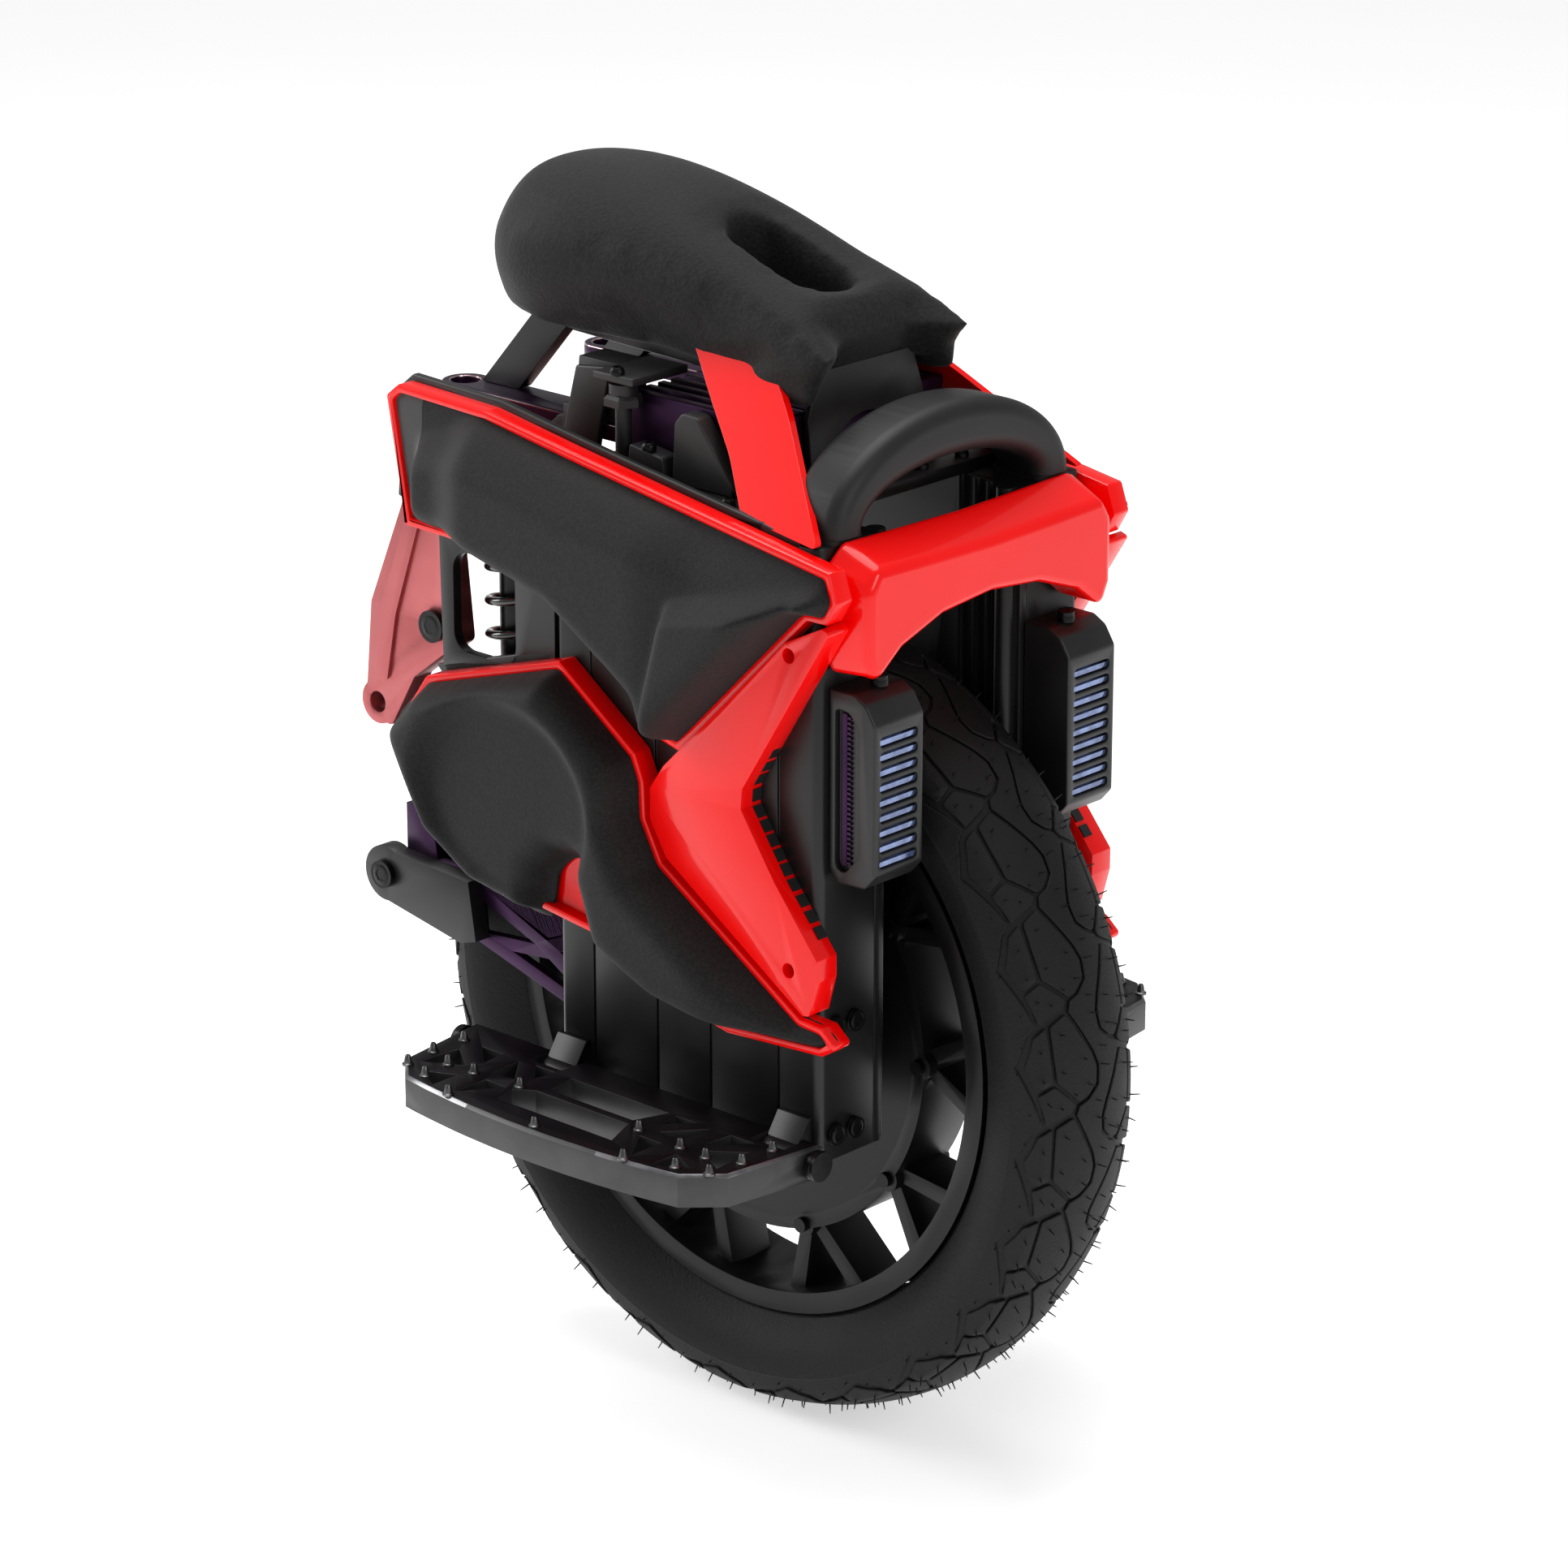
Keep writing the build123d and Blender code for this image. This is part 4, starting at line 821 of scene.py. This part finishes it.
def socketScrew(radius, height):
    # a button head with a hexagon socket, standing on the origin
    bpy.ops.object.select_all(action="DESELECT")
    shank = screwForm["shank"] * height * mm
    bpy.ops.mesh.primitive_cylinder_add(vertices=screwForm["sides"], radius=radius * mm, depth=shank,
                                        location=(0, 0, shank / 2))
    screw = bpy.context.object
    bpy.ops.object.transform_apply(location=True, rotation=True, scale=True)
    pickFaces(screw, lambda face: face.normal.z > 0.9)
    for inward, upward in (screwForm["chamfer"], screwForm["dome"], (screwForm["land"], 0.0)):
        bpy.ops.mesh.inset(thickness=inward * radius * mm, depth=upward * height * mm)
    bpy.ops.object.mode_set(mode="OBJECT")
    for vertex in screw.data.vertices:
        if vertex.select:
            turn = math.atan2(vertex.co.y, vertex.co.x)
            corner = math.cos(math.pi / 6) / math.cos(turn % (math.pi / 3) - math.pi / 6)
            reach = screwForm["socket"] * radius * corner
            vertex.co.x, vertex.co.y = reach * mm * math.cos(turn), reach * mm * math.sin(turn)
    bpy.ops.object.mode_set(mode="EDIT")
    bpy.ops.mesh.extrude_region_move(TRANSFORM_OT_translate={
        "value": (0, 0, -screwForm["socketDepth"] * height * mm)})
    bpy.ops.mesh.select_mode(type="VERT")
    bpy.ops.object.mode_set(mode="OBJECT")
    smooth(screw, 30)
    return screw


def setScrews(name, radius, height, spots, bodyOf):
    # copies of one screw at (point, direction) places, joined in one piece
    screw = socketScrew(radius, height)
    copies = [placeCopy(screw, Matrix.Translation(Vector(point) * mm)
                        @ Vector(way).to_track_quat("Z", "Y").to_matrix().to_4x4(), name)
              for point, way in spots]
    moveAway(screw)
    screws = joinPieces(name, copies)
    paint(screws, blackOxide)
    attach(screws, cadNodes[bodyOf]["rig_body"])
    return screws


setScrews("coverScrews", 6.7, 3.9, [((135, y, z), (1, 0, 0)) for y in (-100, -84, 84, 100)
                                    for z in (234, 301)], "body_screws")
setScrews("linkScrews", 9.6, 4.2, [((-184, y * 107.2, 477), (0, y, 0)) for y in (-1, 1)], "body_screws")
setScrews("armScrews", 8.5, 4.4, [((-270, y * 72.2, 288), (0, y, 0)) for y in (-1, 1)], "body_screws")
setScrews("podScrews", 5.2, 6.5, [((152, y * 82, 508), (0, 0, 1)) for y in (-1, 1)], "lamp_pod_right")
setScrews("pinScrews", 9.3, 5.2, [((x * 144, y * 126, 225), (x, 0, 0)) for x in (-1, 1) for y in (-1, 1)],
          "pedal_pins")
setScrews("deckScrews", 4.2, 4.5, [((x, y * 102, 598), (0, 0, 1)) for x in (2, 22, 54) for y in (-1, 1)]
          + [((84, y, 598), (0, 0, 1)) for y in (-66, -30, 30, 66)], "top_deck")
print("screws set")

# ---- lamp pods
podForm = {"inner": 64, "outer": 106, "slats": 9, "pitch": 9.1, "slot": 6.3, "slotFoot": 405.4,
           "slotFace": 173, "slotDepth": 12.6, "slotEnds": (69, 101), "teeth": 30, "toothPitch": 3}
podOutline = [(135, 400), (142, 392), (162, 393), (170, 402), (170, 492), (163, 503), (154, 508), (135, 508)]
pod = sidePlate("podRight", podOutline, podForm["inner"], podForm["outer"], -1, corner=1.5, edge=1.8)
slotNear, slotFar = podForm["slotEnds"]
slotTop = podForm["slotFoot"] + podForm["slot"]
slotCorners = [(slotNear, podForm["slotFoot"]), (slotFar, podForm["slotFoot"]), (slotFar, slotTop),
               (slotNear, slotTop)]
slots = cutPlate("slots", [(podForm["slotFace"], -y, z) for y, z in slotCorners],
                 (-podForm["slotDepth"], 0, 0), corner=2.9)
applyModifier(slots, "ARRAY", count=podForm["slats"], use_relative_offset=False, use_constant_offset=True,
              constant_offset_displace=(0, 0, podForm["pitch"] * mm))
window = sidePlate("window", [(140, 402), (147, 399), (158, 411), (158, 488), (150, 497), (140, 497)],
                   101.5, 110, -1, corner=3)
for cutter in (slots, window):
    applyModifier(pod, "BOOLEAN", object=cutter, operation="DIFFERENCE", solver="EXACT")
applyModifier(pod, "BEVEL", width=0.5 * mm, segments=2, angle_limit=math.radians(50))
smooth(pod)
moveAway(slots, window)
strip = sidePlate("heatStrip", [(142.5, 403), (146.5, 403), (146.5, 494), (142.5, 494)], 101.2, 103, -1)
tooth = sidePlate("tooth", [(146, 404), (149.5, 404), (149.5, 405.6), (146, 405.6)], 101.2, 103, -1)
applyModifier(tooth, "ARRAY", count=podForm["teeth"], use_relative_offset=False, use_constant_offset=True,
              constant_offset_displace=(0, 0, podForm["toothPitch"] * mm))
strip = joinPieces("heatStripRight", [strip, tooth])
for side, podPiece, stripPiece in (("right", pod, strip), ("left", mirrorPiece(pod, "podLeft"),
                                                             mirrorPiece(strip, "heatStripLeft"))):
    paint(podPiece, satinAbs)
    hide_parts("lamp_pod_" + side)
    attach(podPiece, cadNodes["lamp_pod_" + side]["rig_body"])
    paint(stripPiece, violetAnodised)
    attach(stripPiece, cadNodes["lamp_pod_" + side]["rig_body"])
print("lamp pods made")

# ---- trim: a row of dark pockets in its front edge, red bridges between
pocketForm = {"spacing": 10, "away": 118, "size": (7.6, 7, 1.6)}
trimEdge = [(149, 541), (91, 443), (90, 431), (116, 393), (143, 361)]
pockets = []
for (ax, az), (bx, bz) in zip(trimEdge, trimEdge[1:]):
    length = math.hypot(bx - ax, bz - az)
    count = max(1, round(length / pocketForm["spacing"]))
    slope = math.atan2(bz - az, bx - ax)
    for number in range(count):
        share = (number + 0.5) / count
        bpy.ops.object.select_all(action="DESELECT")
        bpy.ops.mesh.primitive_cube_add(size=1)
        pocket = bpy.context.object
        middle = Vector((ax + share * (bx - ax), -pocketForm["away"], az + share * (bz - az)))
        pocket.data.transform(Matrix.Translation(middle * mm) @ Matrix.Rotation(-slope, 4, "Y")
                              @ Matrix.Diagonal([size * mm for size in pocketForm["size"]] + [1]))
        pockets.append(pocket)
pockets = joinPieces("trimPocketsRight", pockets)
for piece in (pockets, mirrorPiece(pockets, "trimPocketsLeft")):
    paint(piece, mattMoulding)
    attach(piece, "chassis")

# ---- under the saddle: front plate, blocks, straps and posts on the deck
arc = [(30 * math.cos(turn), 606 + 30 * math.sin(turn)) for turn in np.linspace(0, math.pi, 17)]
plateEdge = [(-46, 598.3), (-50, 640), (-40, 667), (40, 667), (50, 640), (46, 598.3), (30, 598.3)]
plateEdge += arc + [(-30, 598.3)]
frontPlate = cutPlate("frontPlate", [(64, y, z) for y, z in plateEdge], (4, 0, 0), edge=0.8)
strapOutline = [(-100, 607), (-88, 651), (-56, 655), (-62, 646), (-72, 600), (-92, 600)]
blockOutline = [(-2, 598.3), (0, 634), (6, 641), (18, 640), (46, 604), (46, 598.3)]
rearBlock = [(-36, 598.3), (-34, 616), (-8, 612), (-6, 598.3)]
brackets = [sidePlate("strap", strapOutline, 76.3, 81, -1, edge=1.2),
            sidePlate("sideBlock", blockOutline, 78, 90, -1, corner=2, edge=1.2),
            sidePlate("lowBlock", rearBlock, 79, 92, -1, corner=2, edge=1),
            sidePlate("ledge", [(-62, 650), (-62, 655), (-30, 655), (-30, 650)], 46, 93, -1, edge=1)]
post = turnProfile("post", [(0, 0), (7, 0), (7, 5), (5, 6), (5, 40), (8.5, 41), (8.5, 50), (0, 50)],
                   (-45, -85, 599), 32, axis=(0, 0, 1), closed=False)
flange = turnProfile("flange", [(0, 0), (12, 0), (12, 4.5), (10, 6.5), (0, 6.5)], (-45, -85, 636), 6,
                     axis=(0, 0, 1), closed=False)
brackets += [post, flange]
bracketRight = joinPieces("bracketRight", brackets)
for piece in (frontPlate, bracketRight, mirrorPiece(bracketRight, "bracketLeft")):
    paint(piece, castBlack)
    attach(piece, "chassis")
setScrews("bracketScrews", 4.4, 4.6, [((x, y * 90, z), (0, 0, 1)) for y in (-1, 1)
                                      for x, z in ((-20, 614.5), (-45, 655))], "top_deck")
print("brackets set")

# ---- pedals: tread face painted darker than the band round it as painted shade, turned studs on it
pedalForm = {"top": 235, "hingeSide": 114, "faceUp": 0.98, "chamferUp": 0.25, "chamferOut": 216}
studForm = [(0, -0.5), (3.6, -0.5), (3.6, 0.6), (2.6, 1.2), (1.7, 5.4), (1.3, 6.0), (0, 6.0)]
ends = ((127, 30), (127, 56), (106, 64), (124, 80), (85, 63), (103, 86), (72, 97), (49, 60))
studPlaces = [(end * x, pedalForm["hingeSide"] + y) for x, y in ends for end in (-1, 1)] + [(0, 211)]
stud = turnProfile("stud", studForm, (0, 0, 0), 16, axis=(0, 0, 1), closed=False)
for side, sign in sides:
    studs = joinPieces("studs" + side.capitalize(), [placeCopy(stud, Matrix.Translation(
        Vector((x, sign * y, pedalForm["top"])) * mm), "stud") for x, y in studPlaces])
    paint(studs, studSteel)
    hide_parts("pedal_spikes_" + side)
    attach(studs, cadNodes["pedal_spikes_" + side]["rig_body"])
    pedal = bpy.data.objects["pedal" + side.capitalize()]
    # the upward tread face gets the painted shade, a darker copy of the pedal alloy
    pedal.data.materials.append(pedalTread)
    # the upward chamfers get the painted highlight in pale metal
    pedal.data.materials.append(cutChamfer)
    for face in pedal.data.polygons:
        if face.normal.z > pedalForm["faceUp"]:
            face.material_index = 1
        elif face.normal.z > pedalForm["chamferUp"] and abs(face.center.y) < pedalForm["chamferOut"] * mm:
            face.material_index = 2
moveAway(stud)

# ---- nose bar: a full rounded section that dips to a wing at each end
barForm = {"rear": 136, "depth": 30, "edge": 4.8, "lean": 13, "leanFrom": 576, "draw": 7, "drawFrom": 100}
halfBar = [(0, 591.5), (-50, 592.5), (-98, 594), (-113, 581), (-113, 530), (-107, 517), (-94, 518),
           (-77, 531), (-42, 543), (0, 547)]
barEdge = halfBar + [(-y, z) for y, z in halfBar[-2:0:-1]]
bar = cutPlate("noseBar", [(barForm["rear"], y, z) for y, z in barEdge], (barForm["depth"], 0, 0))
for vertex in bar.data.vertices:
    # the front face leans back at the top and draws in at its ends
    if vertex.co.x > (barForm["rear"] + barForm["depth"] / 2) * mm:
        if vertex.co.z > barForm["leanFrom"] * mm:
            vertex.co.z -= barForm["lean"] * mm
        if abs(vertex.co.y) > barForm["drawFrom"] * mm:
            vertex.co.y -= math.copysign(barForm["draw"] * mm, vertex.co.y)
applyModifier(bar, "BEVEL", width=barForm["edge"] * mm, segments=5, angle_limit=math.radians(30),
              use_clamp_overlap=False)
smooth(bar)
paint(bar, redLacquer)
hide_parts("nose_bar")
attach(bar, "chassis")

# ---- a dark lip stands behind each panel's rim, a raised ridge runs down each rear link
upperLip = [(-204, 623), (-191, 633.5), (-117, 630.5), (-51, 619.5), (120, 593), (120, 588), (-51, 613),
            (-117, 623), (-188, 626), (-197, 618)]
lowerLip = [(-176, 456), (-78, 486), (-78, 479), (-168, 448)]
ridge = [(-236, 436), (-230, 480), (-200, 553), (-188, 558), (-216, 478), (-225, 433)]
for side, sign in sides:
    lips = joinPieces("panelLips" + side.capitalize(), [sidePlate("lip", upperLip, 109, 114, sign, edge=1),
                                                        sidePlate("lip", lowerLip, 108, 114, sign, edge=1)])
    paint(lips, satinAbs)
    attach(lips, "chassis")
    linkRidge = sidePlate("linkRidge" + side.capitalize(), ridge, 106.5, 109, sign, corner=3, edge=1.2)
    paint(linkRidge, redAnodised)
    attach(linkRidge, cadNodes["rear_link_" + side]["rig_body"])

# painted highlight on the rails' broken edges: those that face neither up nor sideways get the pale
# highlight metal
rails = bpy.data.objects["rearRails"]
rails.data.materials.append(polishedRim)
for face in rails.data.polygons:
    if 0.2 < face.normal.z < 0.97:
        face.material_index = 1
print("pedals, bar and lips finished")


# ---- room, light and camera
bpy.ops.mesh.primitive_plane_add(size=60, location=(0, 0, -0.0005))
floor = bpy.context.object
floor.name = "studioFloor"
floorPaint, base, place = startMaterial("floorPaint", {
    "Specular IOR Level": 0.2, "Emission Color": srgb("#FFFFFF"), "Emission Strength": 0.55})
mottle(floorPaint, base, place, 900, "#F4F4F4", "#F8F8F8", (0.6, 0.75))
paint(floor, floorPaint)

world = bpy.context.scene.world or bpy.data.worlds.new("studio")
bpy.context.scene.world = world
world.use_nodes = True
world.node_tree.nodes["Background"].inputs["Color"].default_value = srgb("#FFFFFF")
world.node_tree.nodes["Background"].inputs["Strength"].default_value = 0.34

lamps = {
    # name: place, aim, size, watts
    "skyPanel": ((-0.4, 0.3, 3.0), (0, 0, 0.4), 2.4, 55),
    "rearPanel": ((-2.4, -1.2, 1.6), (-0.1, 0, 0.4), 1.6, 40),
    "frontPanel": ((2.6, -0.4, 1.8), (0.05, 0, 0.45), 1.2, 14),
}
for name, (spot, aim, size, watts) in lamps.items():
    data = bpy.data.lights.new(name, "AREA")
    data.shape = "DISK"
    data.size = size
    data.energy = watts
    lamp = bpy.data.objects.new(name, data)
    bpy.context.scene.collection.objects.link(lamp)
    lamp.location = spot
    lamp.rotation_euler = (Vector(aim) - Vector(spot)).to_track_quat("-Z", "Y").to_euler()

cameraForm = {"lens": 131.2, "sensor": 36, "place": (2.19325, -2.37781, 1.51110),
              "aim": (-0.0348, 0.0412, 0.3733)}
cameraData = bpy.data.cameras.new("studioCamera")
cameraData.lens = cameraForm["lens"]
cameraData.sensor_width = cameraForm["sensor"]
camera = bpy.data.objects.new("studioCamera", cameraData)
bpy.context.scene.collection.objects.link(camera)
camera.location = cameraForm["place"]
aim = Vector(cameraForm["aim"]) - camera.location
camera.rotation_euler = aim.to_track_quat("-Z", "Y").to_euler()
bpy.context.scene.camera = camera
bpy.context.scene.view_settings.view_transform = "Standard"
print("studio set")
